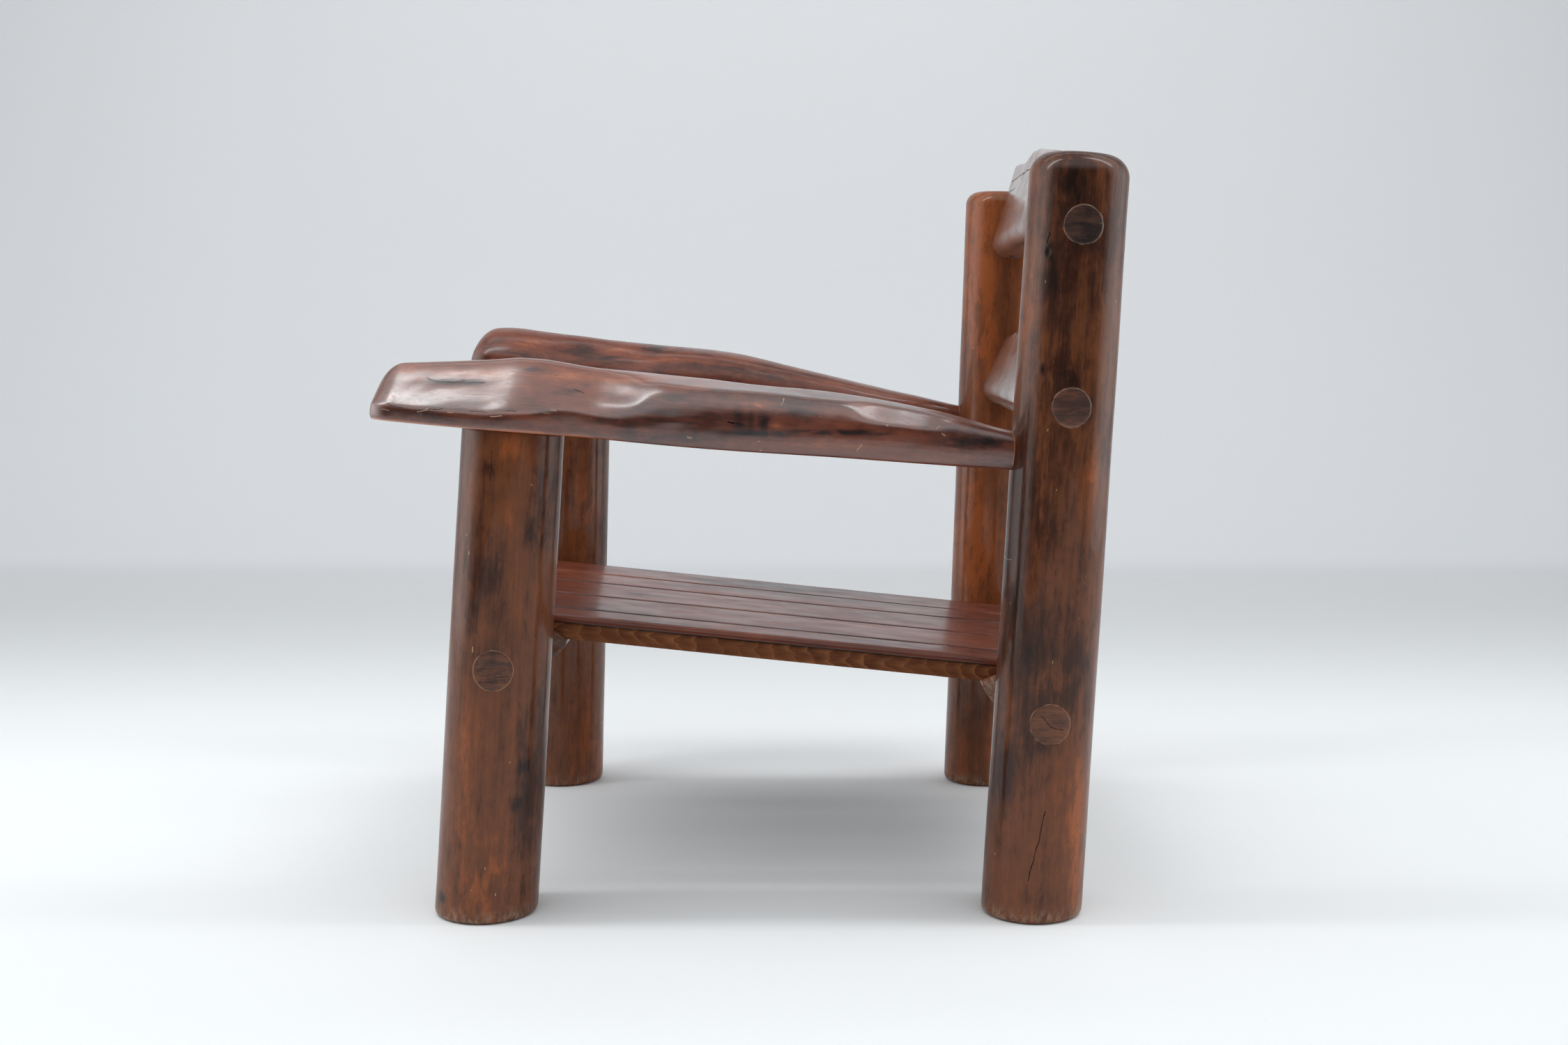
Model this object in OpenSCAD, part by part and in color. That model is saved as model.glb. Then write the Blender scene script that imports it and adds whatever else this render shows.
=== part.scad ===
// Rustic log lounge chair.
// Four leaning log posts carry two sculpted arms, two leaning back rails and two
// split-log seat rails. Every rail ends in a round tenon that runs through its post.
// Millimetres, +Z up, the sitter faces -Y, +X is the sitter's left, floor at Z = 0.

/* [Frame] */
// Distance between the left and right post centres
post_span = 600; // [585:5:660]
// Distance between the front and rear post feet
post_reach = 600; // [540:5:660]
// How far the middle of the four feet lies behind the origin
foot_shift = 9.7; // [0:0.1:20]

/* [Posts] */
// Diameter of the front posts
front_post_d = 112; // [104:1:120]
// Diameter of the rear posts
rear_post_d = 110; // [104:1:120]
// Width of the bevel round each foot
foot_bevel = 8; // [2:1:14]
// Height of the left rear post
rear_left_h = 834; // [800:1:880]
// Height of the right rear post
rear_right_h = 836; // [800:1:880]
// Rounding of the left rear post's top
rear_left_round = 26; // [8:1:34]
// Rounding of the right rear post's top
rear_right_round = 18; // [8:1:34]
// Backward lean of the left front post in degrees
lean_front_left = 3.15; // [0:0.05:5]
// Backward lean of the right front post in degrees
lean_front_right = 1.15; // [0:0.05:5]
// Backward lean of the left rear post in degrees
lean_rear_left = 3.75; // [0:0.05:5]
// Backward lean of the right rear post in degrees
lean_rear_right = 2.2; // [0:0.05:5]

/* [Joints] */
// Diameter of the round tenons of the rails and front posts
tenon_d = 43; // [34:1:46]
// Diameter of the tenon at the rear end of each arm
arm_tenon_d = 26; // [22:1:28]
// Depth of the arm tenon in the rear post
arm_tenon_depth = 42; // [25:1:48]
// Height of the front post tenon inside the arm
post_tenon_h = 42; // [25:1:48]
// Glue gap round each tenon
glue_gap = 0.2; // [0.1:0.05:0.4]
// Gap where two pieces seat on each other
seat_gap = 0.1; // [0.05:0.05:0.3]

/* [Seat] */
// Height of the front seat rail's tenon at the left post
front_rail_z = 274; // [240:1:290]
// Height of the rear seat rail's tenon at the left post
rear_rail_z = 216; // [180:1:240]
// Crown of the front seat rail above its tenon axis
front_crown = 36; // [28:1:40]
// Crown of the rear seat rail above its tenon axis
rear_crown = 34; // [28:1:40]
// Radius of the rails' crowned top
crown_r = 115; // [90:1:160]
// Radius of the rails' rounded underside
belly_r = 72; // [66:1:90]
// Depth of the rails' underside below the tenon axis
belly_drop = 24; // [22.5:0.5:30]
// Length over which each rail end is whittled down to its tenon
whittle = 34; // [20:1:60]
// Thickness of the seat slats
slat_t = 9; // [7:0.5:16]
// Rounding of the slats' upper edges
slat_ease = 2.5; // [1:0.5:3]
// Gap between neighbouring slats
slat_gap = 4; // [2:0.5:8]
// Gap between the outer slats and the posts
side_gap = 23; // [14:1:28]
// Width of the first slat from the sitter's right
slat_1_w = 85; // [60:1:95]
// Width of the second slat
slat_2_w = 77; // [60:1:95]
// Width of the third slat
slat_3_w = 106; // [80:1:115]
// Width of the fourth slat
slat_4_w = 106; // [80:1:115]
// Overhang of the slats in front of the front rail's axis
slat_front = 50; // [40:1:70]
// Overhang of the slats behind the rear rail's axis
slat_rear = 46; // [36:1:60]
// Height of the batten under each outer slat
batten_h = 16.5; // [10:0.5:20]
// Width of the batten
batten_w = 26; // [16:1:40]
// How far the batten stands back from the slat's edge
batten_inset = 3; // [1:0.5:8]
// Diameter of the slat nails
nail_d = 3; // [2:0.2:4]
// Diameter of the nail heads
nail_head_d = 6.5; // [5:0.5:8]
// Length of the slat nails
nail_l = 36; // [28:1:45]

/* [Back] */
// How far the upper back rail's tenon lies below the top of the left post
upper_rail_left_below = 80; // [69:1:90]
// How far the upper back rail's tenon lies below the top of the right post
upper_rail_right_below = 72; // [66:1:90]
// Height of the lower back rail's tenon at the left post
lower_rail_left_z = 557; // [552:1:590]
// Height of the lower back rail's tenon at the right post
lower_rail_right_z = 564; // [558:1:590]
// How far the upper rail's right tenon lies behind the post centre
upper_rail_setback = 5; // [0:0.5:8]
// Lean of the upper rail's front face in degrees
upper_lean = 17.5; // [10:1:26]
// Lean of the lower rail's front face in degrees
lower_lean = 24.6; // [10:0.2:28]
// Height of the upper rail's crest above its tenon axis
upper_crest = 114; // [100:1:125]
// Height of the lower rail's crest above its tenon axis
lower_crest = 81; // [70:1:90]
// Rise of the upper rail's underside between the posts
upper_scoop = 12; // [2:1:16]
// Rise of the lower rail's underside between the posts
lower_scoop = 2; // [1:1:8]
// Thickness of the upper rail at its right tenon
upper_foot_t = 46; // [44:1:52]
// Thickness of the lower rail at its right tenon
lower_foot_t = 42; // [42:1:50]
// How far the lower rail reaches below its tenons
lower_drop = 4; // [1:0.5:8]
// Thickness of the back rails at the crest
rail_crest_t = 28; // [20:1:36]

/* [Arms] */
// Height of the left arm's underside at the front post
left_arm_z = 531; // [510:1:540]
// Height of the right arm's underside at the front post
right_arm_z = 566; // [550:1:572]
// Fall of the left arm towards the back in degrees
left_arm_fall = 4.7; // [4:0.1:6]
// Fall of the right arm towards the back in degrees
right_arm_fall = 7.7; // [6.6:0.1:9]
// Reach of the left arm in front of its post's centre
left_arm_tip = 152; // [110:1:170]
// Reach of the right arm in front of its post's centre
right_arm_tip = 140; // [110:1:170]
// Rounding of the arms' front ends
arm_nose = 26; // [20:1:40]
// Sag of the left arm's underside behind the front post
left_arm_belly = 1.5; // [0:0.5:8]
// Height of the lower arris at the front of the arms
arris_front = 12; // [8:1:16]
// Height of the lower arris at the rear of the arms
arris_rear = 20; // [12:1:24]

/* [Hidden] */

left = 1;
right = -1;
big = 1200;
front_y = foot_shift - post_reach / 2;
rear_y = foot_shift + post_reach / 2;
front_r = front_post_d / 2;
rear_r = rear_post_d / 2;
tenon_r = tenon_d / 2;
upper_rail_left_z = rear_left_h - upper_rail_left_below;
upper_rail_right_z = rear_right_h - upper_rail_right_below;
arm_tenon_r = arm_tenon_d / 2;
log_facets = 96;

stain = [0.34, 0.17, 0.10];
dark_stain = [0.26, 0.12, 0.08];
seat_stain = [0.42, 0.22, 0.16];
batten_stain = [0.45, 0.27, 0.15];
steel = [0.35, 0.34, 0.33];

// Sculpted arm rows: place along the arm, thickness, half width outside, half width inside.
// Places run from -1 at the tip through 0 at the front post to 1 at the rear post.
left_arm_rows = [
    [-1.00, 59.5, 43, 44], [-0.60, 66.5, 55, 57], [-0.20, 73.5, 64.44, 60], [0.03, 79, 62, 58],
    [0.14, 74.5, 53, 54], [0.25, 73, 61, 58], [0.38, 71.5, 60, 58], [0.62, 67, 46, 46],
    [0.80, 55, 32, 32], [0.90, 43, 18, 18], [1.00, 34, 13, 13]
];
right_arm_rows = [
    [-1.00, 56, 48, 48], [-0.65, 66, 64.4, 64], [-0.20, 66, 58, 60], [0.05, 67, 54, 53],
    [0.20, 70, 58, 62], [0.38, 72, 58, 60], [0.50, 65, 50, 52], [0.70, 53, 40, 41],
    [0.80, 47, 31, 32], [0.90, 41, 18, 18], [1.00, 40, 13, 13]
];
// Places between which the left arm's underside sags
belly_from = 0.1;
belly_to = 0.62;
// Height and width of the arms' nose where it starts, as shares of the full section
nose_height = 0.42;
nose_width = 0.6;
// Roundness of a fully crowned arm section: 1 is an ellipse, less is squarer
crown_power = 0.84;
// Powers of a section whose side is an almost flat facet, across and up
facet_power_w = 1.9;
facet_power_h = 1.75;
// Share of the flat facet in the outer side, by place along the arm, and in the inner side.
// Below 0 the section is squarer than the crown alone and shows a level top.
facet_rows = [[-1, 1], [0.02, 1], [0.12, 0.35], [0.3, -0.15], [0.5, -0.15], [0.75, 0.1], [1, 0.2]];
inner_facet = 0.35;
// Sections skinned in front of the front post's centre line and behind it
front_rings = 10;
rear_rings = 24;
// Bevel from the arms' lower arris to the flat of the underside
arris_in = 2.5;
sole_in = 9;

// Live edge of the back rails: place between the posts, fall below the highest point
upper_edge_rows = [
    [-1, 3], [-0.62, 9], [-0.25, 0], [0.05, 4], [0.4, 12], [0.85, 23], [1, 26]
];
lower_edge_rows = [
    [-1, 13], [-0.5, 3], [0, 1.5], [0.15, 0], [0.5, 5], [0.85, 5], [1, 8]
];
// Rounding of a back rail's section from the lower front corner over the crest to the back
slab_rounding = [20, 9, 11, 16];
// Height above the tenon axis at which the front face stands at the tenon's own distance
face_level = 12;
// Step from the front to the back corner of the crest
crest_step = 4;
// How far the back rails and seat rails run into a post's outline before they are coped
cope_reach = 0.45 * rear_post_d / 2;
// How far the upper rail reaches below its tenons
upper_drop = 0.8;
// Part of a leaning log below the floor that is cut off level
foot_stub = 36;
// Depth to which the tenons run on inside the rails
tenon_root = 10;
// Collar by which the rails and arms overrun their tenons all round
collar = 3;

// Height of a post's centre line above a point of the floor, and its place in Y
function lean_of(front, side) = front
    ? (side == left ? lean_front_left : lean_front_right)
    : (side == left ? lean_rear_left : lean_rear_right);
function foot_of(front) = front ? front_y : rear_y;
function axis_y(front, side, z) = foot_of(front) + z * tan(lean_of(front, side));

// Seat plane: it falls towards the back and lies on the crowns of both seat rails
front_rail_y = axis_y(true, left, front_rail_z);
rear_rail_y = axis_y(false, left, rear_rail_z);
rail_dy = rear_rail_y - front_rail_y;
rail_dz = front_rail_z - rear_rail_z;
seat_fall = atan2(rail_dz, rail_dy) + asin((front_crown - rear_crown) / norm([rail_dy, rail_dz]));
seat_n = front_crown;
rear_rail_n = front_crown - rear_crown;
rear_rail_s = (rail_dy - rear_rail_n * sin(seat_fall)) / cos(seat_fall);

// Distance down the seat plane at which a line in it meets the right post's centre line
function right_s(front, n) = let (lean = lean_of(front, right), foot = foot_of(front))
    ((foot - front_rail_y) * cos(lean) + front_rail_z * sin(lean) - n * sin(seat_fall - lean))
    / cos(seat_fall - lean);

// Seat boards: four have their own width, the fifth is ripped to fill the space that is left
seat_w = post_span - max(front_post_d, rear_post_d) - 2 * side_gap;
slat_w = [
    slat_1_w, slat_2_w, slat_3_w, slat_4_w,
    seat_w - slat_1_w - slat_2_w - slat_3_w - slat_4_w - 4 * slat_gap
];
function slat_x(i) = i == 0 ? -seat_w / 2 : slat_x(i - 1) + slat_w[i - 1] + slat_gap;

// Value of one column of a table of rows, carried smoothly from row to row
function row_before(rows, t) = max([for (i = [0 : len(rows) - 2]) if (i == 0 || rows[i][0] <= t) i]);
function slope(a, b, c) = (b[c] - a[c]) / (b[0] - a[0]);
function along(rows, t, c) = let (
    i = row_before(rows, t),
    a = rows[max(i - 1, 0)],
    b = rows[i],
    d = rows[i + 1],
    e = rows[min(i + 2, len(rows) - 1)],
    run = d[0] - b[0],
    u = (t - b[0]) / run
)
    b[c] * (2 * u ^ 3 - 3 * u ^ 2 + 1) + d[c] * (3 * u ^ 2 - 2 * u ^ 3)
    + run * (slope(a, d, c) * (u ^ 3 - 2 * u ^ 2 + u) + slope(b, e, c) * (u ^ 3 - u ^ 2));

// Arc that rounds the corner at p between the directions of its neighbours
function rounded(p, before, after, r, steps = 5) = let (
    a = (before - p) / norm(before - p),
    b = (after - p) / norm(after - p),
    half = acos(a * b) / 2,
    centre = p + (a + b) / norm(a + b) * r / sin(half),
    from = p + a * r / tan(half) - centre,
    to = p + b * r / tan(half) - centre,
    sweep = 180 - 2 * half
)
    [
        for (k = [0 : steps])
            centre + (sin(sweep * (1 - k / steps)) * from + sin(sweep * k / steps) * to) / sin(sweep)
    ];

// Solid skinned over rings with equal point counts
module skin(rings) {
    count = len(rings[0]);
    last = len(rings) - 1;
    sides = [
        for (i = [0 : last - 1], j = [0 : count - 1])
            let (a = i * count + j, b = i * count + (j + 1) % count)
                each [[a, b, b + count], [a, b + count, a + count]]
    ];
    first_cap = [for (j = [count - 1 : -1 : 0]) j];
    last_cap = [for (j = [0 : count - 1]) last * count + j];
    polyhedron([for (ring = rings) each ring], concat([first_cap], sides, [last_cap]), convexity = 6);
}

// Round bar along +X from one place to another
module bar_x(r, from, to) {
    translate([from, 0, 0])
        rotate([0, 90, 0])
            cylinder(r = r, h = to - from, $fn = log_facets);
}

// Leaning log with a bevelled foot cut level with the floor
module log_form(front, side, length, top_round, grow = 0) {
    r = (front ? front_r : rear_r) + grow;
    intersection() {
        translate([side * post_span / 2, foot_of(front), 0])
            rotate([-lean_of(front, side), 0, 0])
                rotate_extrude($fn = log_facets) {
                    translate([0, -foot_stub])
                        square([r, length - top_round + foot_stub]);
                    square([r - top_round, length + grow]);
                    translate([r - top_round - grow, length - top_round])
                        intersection() {
                            circle(r = top_round + grow, $fn = log_facets);
                            square(top_round + grow + 1);
                        }
                }
        translate([side * post_span / 2, foot_of(front), 0])
            rotate_extrude($fn = log_facets)
                polygon([[0, 0], [r - foot_bevel, 0], [r - foot_bevel + big, big], [0, big]]);
    }
}

function rear_h(side) = side == left ? rear_left_h : rear_right_h;
function rear_round(side) = side == left ? rear_left_round : rear_right_round;
module rear_log(side, grow = 0) {
    log_form(false, side, rear_h(side) / cos(lean_of(false, side)), rear_round(side), grow);
}

// Endless column on a rear post's outline, to cope the rails and arms that meet it
module rear_column(side) {
    translate([side * post_span / 2, foot_of(false), 0])
        rotate([-lean_of(false, side), 0, 0])
            cylinder(r = rear_r + seat_gap, h = big, $fn = log_facets);
}

// Seat plane frame: x across, y down the fall, z square to the seat, origin on the front rail
module on_seat() {
    translate([0, front_rail_y, front_rail_z])
        rotate([-seat_fall, 0, 0])
            children();
}

// Frame of a seat rail: its tenon axis lies along x
module on_seat_rail(front) {
    n = front ? 0 : rear_rail_n;
    s_left = front ? 0 : rear_rail_s;
    s_right = right_s(front, n);
    on_seat()
        translate([0, (s_left + s_right) / 2, n])
            rotate([0, 0, atan2(s_left - s_right, post_span)])
                children();
}

// Frame of a back rail: its tenon axis runs between the two rear posts
module on_back_rail(z_left, z_right, setback) {
    y_left = axis_y(false, left, z_left);
    y_right = axis_y(false, right, z_right) + setback;
    translate([0, (y_left + y_right) / 2, (z_left + z_right) / 2])
        rotate([0, -atan2(z_left - z_right, post_span), atan2(y_left - y_right, post_span)])
            children();
}

// Frame of an arm: y runs down its underside from the front post's centre line
function arm_z(side) = side == left ? left_arm_z : right_arm_z;
function arm_fall(side) = side == left ? left_arm_fall : right_arm_fall;
function arm_tip(side) = side == left ? left_arm_tip : right_arm_tip;
function arm_rows(side) = side == left ? left_arm_rows : right_arm_rows;
module on_arm(side) {
    translate([side * post_span / 2, axis_y(true, side, arm_z(side)), arm_z(side)])
        rotate([-arm_fall(side), 0, 0])
            children();
}

// Length of an arm's underside from the front post's centre line to the rear one's
function arm_run(side) = let (
    lean = lean_of(false, side),
    fall = arm_fall(side),
    gap = axis_y(false, side, arm_z(side)) - axis_y(true, side, arm_z(side))
)
    gap * cos(lean) / cos(fall - lean);

// One side of an arm's section, from the bottom edge past the arris to the crown
function arm_half(w, t, arris, belly, flat, steps = 8) = let (
    across = crown_power + (facet_power_w - crown_power) * flat,
    up = crown_power + (facet_power_h - crown_power) * flat
) concat(
    [[w - sole_in, -belly], [w - arris_in, 0.3 * arris - 0.5 * belly], [w, arris]],
    [
        for (k = [1 : steps - 1])
            let (a = 90 * k / steps)
                [w * cos(a) ^ across, arris + (t - arris) * sin(a) ^ up]
    ]
);
function arm_belly(side, place) = side == right || place < belly_from || place > belly_to
    ? 0
    : left_arm_belly * (1 - cos(360 * (place - belly_from) / (belly_to - belly_from))) / 2;
function arm_ring(side, s) = let (
    run = arm_run(side),
    tip = arm_tip(side),
    rows = arm_rows(side),
    place = s < 0 ? s / tip : s / run,
    nose = min(1, (s + tip) / arm_nose),
    round_off = sqrt(1 - (1 - nose) ^ 2),
    t = along(rows, place, 1) * (nose_height + (1 - nose_height) * round_off),
    shrink = nose_width + (1 - nose_width) * round_off,
    arris = min(arris_front + (arris_rear - arris_front) * max(0, place), 0.45 * t),
    belly = arm_belly(side, place),
    flat = lookup(place, facet_rows),
    outside = arm_half(along(rows, place, 2) * shrink, t, arris, belly, flat),
    inside = arm_half(along(rows, place, 3) * shrink, t, arris, belly, inner_facet * flat),
    last = len(inside) - 1
) concat(
    [for (p = outside) [side * p[0], s, p[1]]],
    [[0, s, t]],
    [for (k = [last : -1 : 0]) [-side * inside[k][0], s, inside[k][1]]]
);

// Sculpted arm before its joints are cut
module arm_body(side) {
    tip = arm_tip(side);
    run = arm_run(side);
    nose_places = [0, 0.05, 0.16, 0.34, 0.6];
    places = concat(
        [for (p = nose_places) p * arm_nose - tip],
        [for (k = [0 : front_rings - 1]) arm_nose - tip + k * (tip - arm_nose) / front_rings],
        [for (k = [0 : rear_rings]) k * run / rear_rings]
    );
    rings = [for (s = places) arm_ring(side, s)];
    skin(side == left ? rings : [for (k = [len(rings) - 1 : -1 : 0]) rings[k]]);
}

// Tenon from the rear end of an arm into its post, grown for the mortise
module arm_tenon(side, grow = 0) {
    run = arm_run(side);
    rows = arm_rows(side);
    root = 40;
    on_arm(side)
        translate([0, run - rear_r - root, along(rows, 0.95, 1) / 2])
            rotate([-90, 0, 0])
                cylinder(r = arm_tenon_r + grow, h = root + arm_tenon_depth + 10 * grow, $fn = log_facets);
}

// Tenon on top of a front post, grown for the mortise in the arm
module post_tenon(side, grow = 0) {
    z = arm_z(side);
    lean = lean_of(true, side);
    root = 30;
    translate([side * post_span / 2, axis_y(true, side, z), z])
        rotate([-lean, 0, 0])
            translate([0, 0, -root])
                cylinder(r = tenon_r + grow, h = root + post_tenon_h + 10 * grow, $fn = log_facets);
}

// Everything below an arm's underside
module under_arm(side) {
    on_arm(side)
        translate([-big / 2, -big / 2, -big - seat_gap])
            cube(big);
}

// Tenons of all rails that enter the rear or front posts, as bores
module seat_rail_bore(front) {
    on_seat_rail(front) bar_x(tenon_r + glue_gap, -big / 2, big / 2);
}
module back_rail_bores() {
    on_back_rail(upper_rail_left_z, upper_rail_right_z, upper_rail_setback)
        bar_x(tenon_r + glue_gap, -big / 2, big / 2);
    on_back_rail(lower_rail_left_z, lower_rail_right_z, 0)
        bar_x(tenon_r + glue_gap, -big / 2, big / 2);
}

module front_post(side) {
    color(stain)
        difference() {
            union() {
                intersection() {
                    log_form(true, side, arm_z(side) + front_post_d, foot_bevel);
                    under_arm(side);
                }
                post_tenon(side);
            }
            seat_rail_bore(true);
        }
}

module rear_post(side) {
    color(stain)
        difference() {
            rear_log(side);
            seat_rail_bore(false);
            back_rail_bores();
            arm_tenon(side, glue_gap);
        }
}

module arm(side) {
    color(dark_stain) {
        difference() {
            on_arm(side) arm_body(side);
            rear_column(side);
            post_tenon(side, glue_gap);
        }
        arm_tenon(side);
    }
}

// Through tenons of a rail, cut flush with the outside of the logs
module flush_tenons(r, root) {
    reach = post_span / 2 + max(front_r, rear_r);
    for (side = [left, right])
        bar_x(r, side == left ? root : -reach, side == left ? reach : -root);
}

// Section of a back rail as a leaning slab with rounded corners, around the tenon axis
function slab_ring(x, foot_t, lean, crest, bottom, front) = let (
    low_front = [front - (face_level - bottom) * tan(lean), bottom],
    top_front = [front + (crest - face_level) * tan(lean), crest],
    top_back = [top_front[0] + rail_crest_t, crest - crest_step],
    low_back = [foot_t / 2 + collar, bottom]
)
    [for (p = concat(
        rounded(low_front, low_back, top_front, slab_rounding[0]),
        rounded(top_front, low_front, top_back, slab_rounding[1]),
        rounded(top_back, top_front, low_back, slab_rounding[2]),
        rounded(low_back, top_back, low_front, slab_rounding[3])
    )) [x, p[0], p[1]]];

// The tenon line runs aslant between the posts, the front face stays square across the chair
module back_rail(z_left, z_right, setback, foot_t, lean, crest, edge_rows, scoop, drop) {
    inner = post_span / 2 - rear_r;
    reach = inner + cope_reach;
    skew = (axis_y(false, left, z_left) - axis_y(false, right, z_right) - setback) / post_span;
    steps = 28;
    difference() {
        on_back_rail(z_left, z_right, setback)
            skin([
                for (k = [0 : steps])
                    let (
                        x = reach * (2 * k / steps - 1),
                        place = max(-1, min(1, x / inner)),
                        edge = crest - along(edge_rows, place, 1),
                        bottom = scoop * (1 - place ^ 2) - tenon_r - drop,
                        front = -foot_t / 2 - skew * (x + inner)
                    )
                        slab_ring(x, foot_t, lean, edge, bottom, front)
            ]);
        rear_column(left);
        rear_column(right);
    }
    intersection() {
        on_back_rail(z_left, z_right, setback)
            flush_tenons(tenon_r, inner - tenon_root);
        union() {
            rear_log(left);
            rear_log(right);
            between_posts(inner);
        }
    }
}

// Space between the posts, reaching into their outlines by the collar
module between_posts(inner) {
    half = inner + 4 * collar;
    translate([-half, -big / 2, 0])
        cube([2 * half, big, big]);
}

module upper_back_rail() {
    color(dark_stain)
        back_rail(upper_rail_left_z, upper_rail_right_z, upper_rail_setback,
            upper_foot_t, upper_lean, upper_crest, upper_edge_rows, upper_scoop, upper_drop);
}

module lower_back_rail() {
    color(dark_stain)
        back_rail(lower_rail_left_z, lower_rail_right_z, 0,
            lower_foot_t, lower_lean, lower_crest, lower_edge_rows, lower_scoop, lower_drop);
}

// Split-log seat rail: crowned top, round belly, ends whittled down to the tenon
module seat_rail_body(crown) {
    half_l = post_span / 2;
    inner = half_l - max(front_r, rear_r);
    wide = belly_r * 0.9;
    intersection() {
        rotate([90, 0, 90])
            translate([0, 0, -inner])
                linear_extrude(2 * inner)
                    intersection() {
                        translate([0, crown - crown_r])
                            circle(r = crown_r, $fn = 160);
                        translate([0, belly_r - belly_drop])
                            circle(r = belly_r, $fn = 160);
                        translate([-wide, -big / 2])
                            square([2 * wide, big]);
                    }
        rotate([0, 90, 0])
            rotate_extrude($fn = log_facets)
                polygon([
                    [0, -inner], [tenon_r + collar, -inner], [2 * belly_r, whittle - inner],
                    [2 * belly_r, inner - whittle], [tenon_r + collar, inner], [0, inner]
                ]);
    }
}

module seat_rail(front) {
    crown = front ? front_crown : rear_crown;
    inner = post_span / 2 - max(front_r, rear_r);
    color(stain)
        difference() {
            union() {
                on_seat_rail(front) seat_rail_body(crown);
                intersection() {
                    on_seat_rail(front) flush_tenons(tenon_r, inner - tenon_root);
                    union() {
                        for (side = [left, right])
                            post_log(front, side);
                        between_posts(inner);
                    }
                }
            }
            nail_holes(front);
        }
}

module post_log(front, side) {
    if (front)
        log_form(true, side, arm_z(side), foot_bevel);
    else
        rear_log(side);
}

// Slat profile with eased upper edges
module slat_profile(w) {
    intersection() {
        square([w, slat_t]);
        union() {
            translate([slat_ease, 0])
                square([w - 2 * slat_ease, slat_t]);
            square([w, slat_t - slat_ease]);
            for (x = [slat_ease, w - slat_ease])
                translate([x, slat_t - slat_ease])
                    circle(r = slat_ease, $fn = 32);
        }
    }
}

module seat_slat(i) {
    length = slat_front + rear_rail_s + slat_rear;
    color(seat_stain)
        difference() {
            on_seat()
                translate([slat_x(i), length - slat_front, seat_n + seat_gap])
                    rotate([90, 0, 0])
                        linear_extrude(length)
                            slat_profile(slat_w[i]);
            nail_holes(true);
            nail_holes(false);
        }
}

// Two nails at every crossing of a slat and a seat rail
module at_nails(front) {
    on_seat()
        for (i = [0 : 4], share = [0.25, 0.75]) {
            x = slat_x(i) + share * slat_w[i];
            s_left = front ? 0 : rear_rail_s;
            s_right = right_s(front, front ? 0 : rear_rail_n);
            s = s_right + (s_left - s_right) * (x / post_span + 0.5);
            translate([x, s, seat_n + seat_gap + slat_t])
                children();
        }
}

module nail(grow = 0) {
    head_h = 0.3 * nail_head_d;
    translate([0, 0, -nail_l - grow])
        cylinder(d = nail_d + 2 * grow, h = nail_l - head_h + 2 * grow, $fn = 24);
    translate([0, 0, -head_h - grow])
        cylinder(d = nail_head_d + 2 * grow, h = head_h + grow, $fn = 24);
}

module nail_holes(front) {
    at_nails(front) nail(seat_gap);
}

module slat_nails() {
    color(steel)
        for (front = [true, false])
            at_nails(front) nail();
}

// Batten under an outer slat, coped at both ends over the crowns of the rails
module seat_batten(side) {
    edge = seat_w / 2 - batten_inset;
    end_in = 20;
    color(batten_stain)
        difference() {
            on_seat()
                translate([side == left ? edge - batten_w : -edge, end_in, seat_n - batten_h])
                    cube([batten_w, rear_rail_s - 2 * end_in, batten_h]);
            crown_relief(true);
            crown_relief(false);
        }
}

// Upper part of a seat rail's outline, grown by the seating gap
module crown_relief(front) {
    crown = front ? front_crown : rear_crown;
    on_seat_rail(front)
        intersection() {
            rotate([0, 90, 0])
                translate([crown_r - crown, 0, -post_span / 2])
                    cylinder(r = crown_r + seat_gap, h = post_span, $fn = 160);
            translate([-post_span / 2, -belly_r * 0.9 - seat_gap, -belly_drop])
                cube([post_span, 1.8 * belly_r + 2 * seat_gap, 2 * crown_r]);
        }
}

front_post(left);  // front_left_post
front_post(right);  // front_right_post
rear_post(left);  // rear_left_post
rear_post(right);  // rear_right_post
arm(left);  // left_arm
arm(right);  // right_arm
upper_back_rail();
lower_back_rail();
seat_rail(true);  // front_seat_rail
seat_rail(false);  // rear_seat_rail
seat_slat(0);  // seat_slat_1
seat_slat(1);  // seat_slat_2
seat_slat(2);  // seat_slat_3
seat_slat(3);  // seat_slat_4
seat_slat(4);  // seat_slat_5
seat_batten(left);  // left_seat_batten
seat_batten(right);  // right_seat_batten
slat_nails();
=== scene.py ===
import math

import bpy
import numpy as np
from mathutils import Matrix


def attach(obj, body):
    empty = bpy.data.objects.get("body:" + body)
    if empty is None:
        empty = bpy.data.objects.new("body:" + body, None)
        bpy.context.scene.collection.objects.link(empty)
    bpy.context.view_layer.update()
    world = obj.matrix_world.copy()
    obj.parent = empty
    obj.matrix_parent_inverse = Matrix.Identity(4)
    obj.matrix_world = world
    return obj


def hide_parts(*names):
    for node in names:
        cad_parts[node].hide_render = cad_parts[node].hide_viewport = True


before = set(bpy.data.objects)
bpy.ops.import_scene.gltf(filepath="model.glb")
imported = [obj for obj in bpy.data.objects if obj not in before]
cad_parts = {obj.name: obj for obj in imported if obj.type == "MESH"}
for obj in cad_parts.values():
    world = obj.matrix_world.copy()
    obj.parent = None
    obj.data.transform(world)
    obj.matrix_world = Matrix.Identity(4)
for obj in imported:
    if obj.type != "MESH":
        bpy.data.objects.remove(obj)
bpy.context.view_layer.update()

# ---- measures, metres and degrees
HALF_SPAN = 0.300  # post axes from the middle, at the floor
FRONT_Y, REAR_Y = -0.2903, 0.3097
FRONT_R, REAR_R = 0.056, 0.055
FOOT_BEVEL = 0.0075
TENON_R, TENON_DEPTH = 0.0215, 0.075  # the depth from the post's axis inwards

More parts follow.
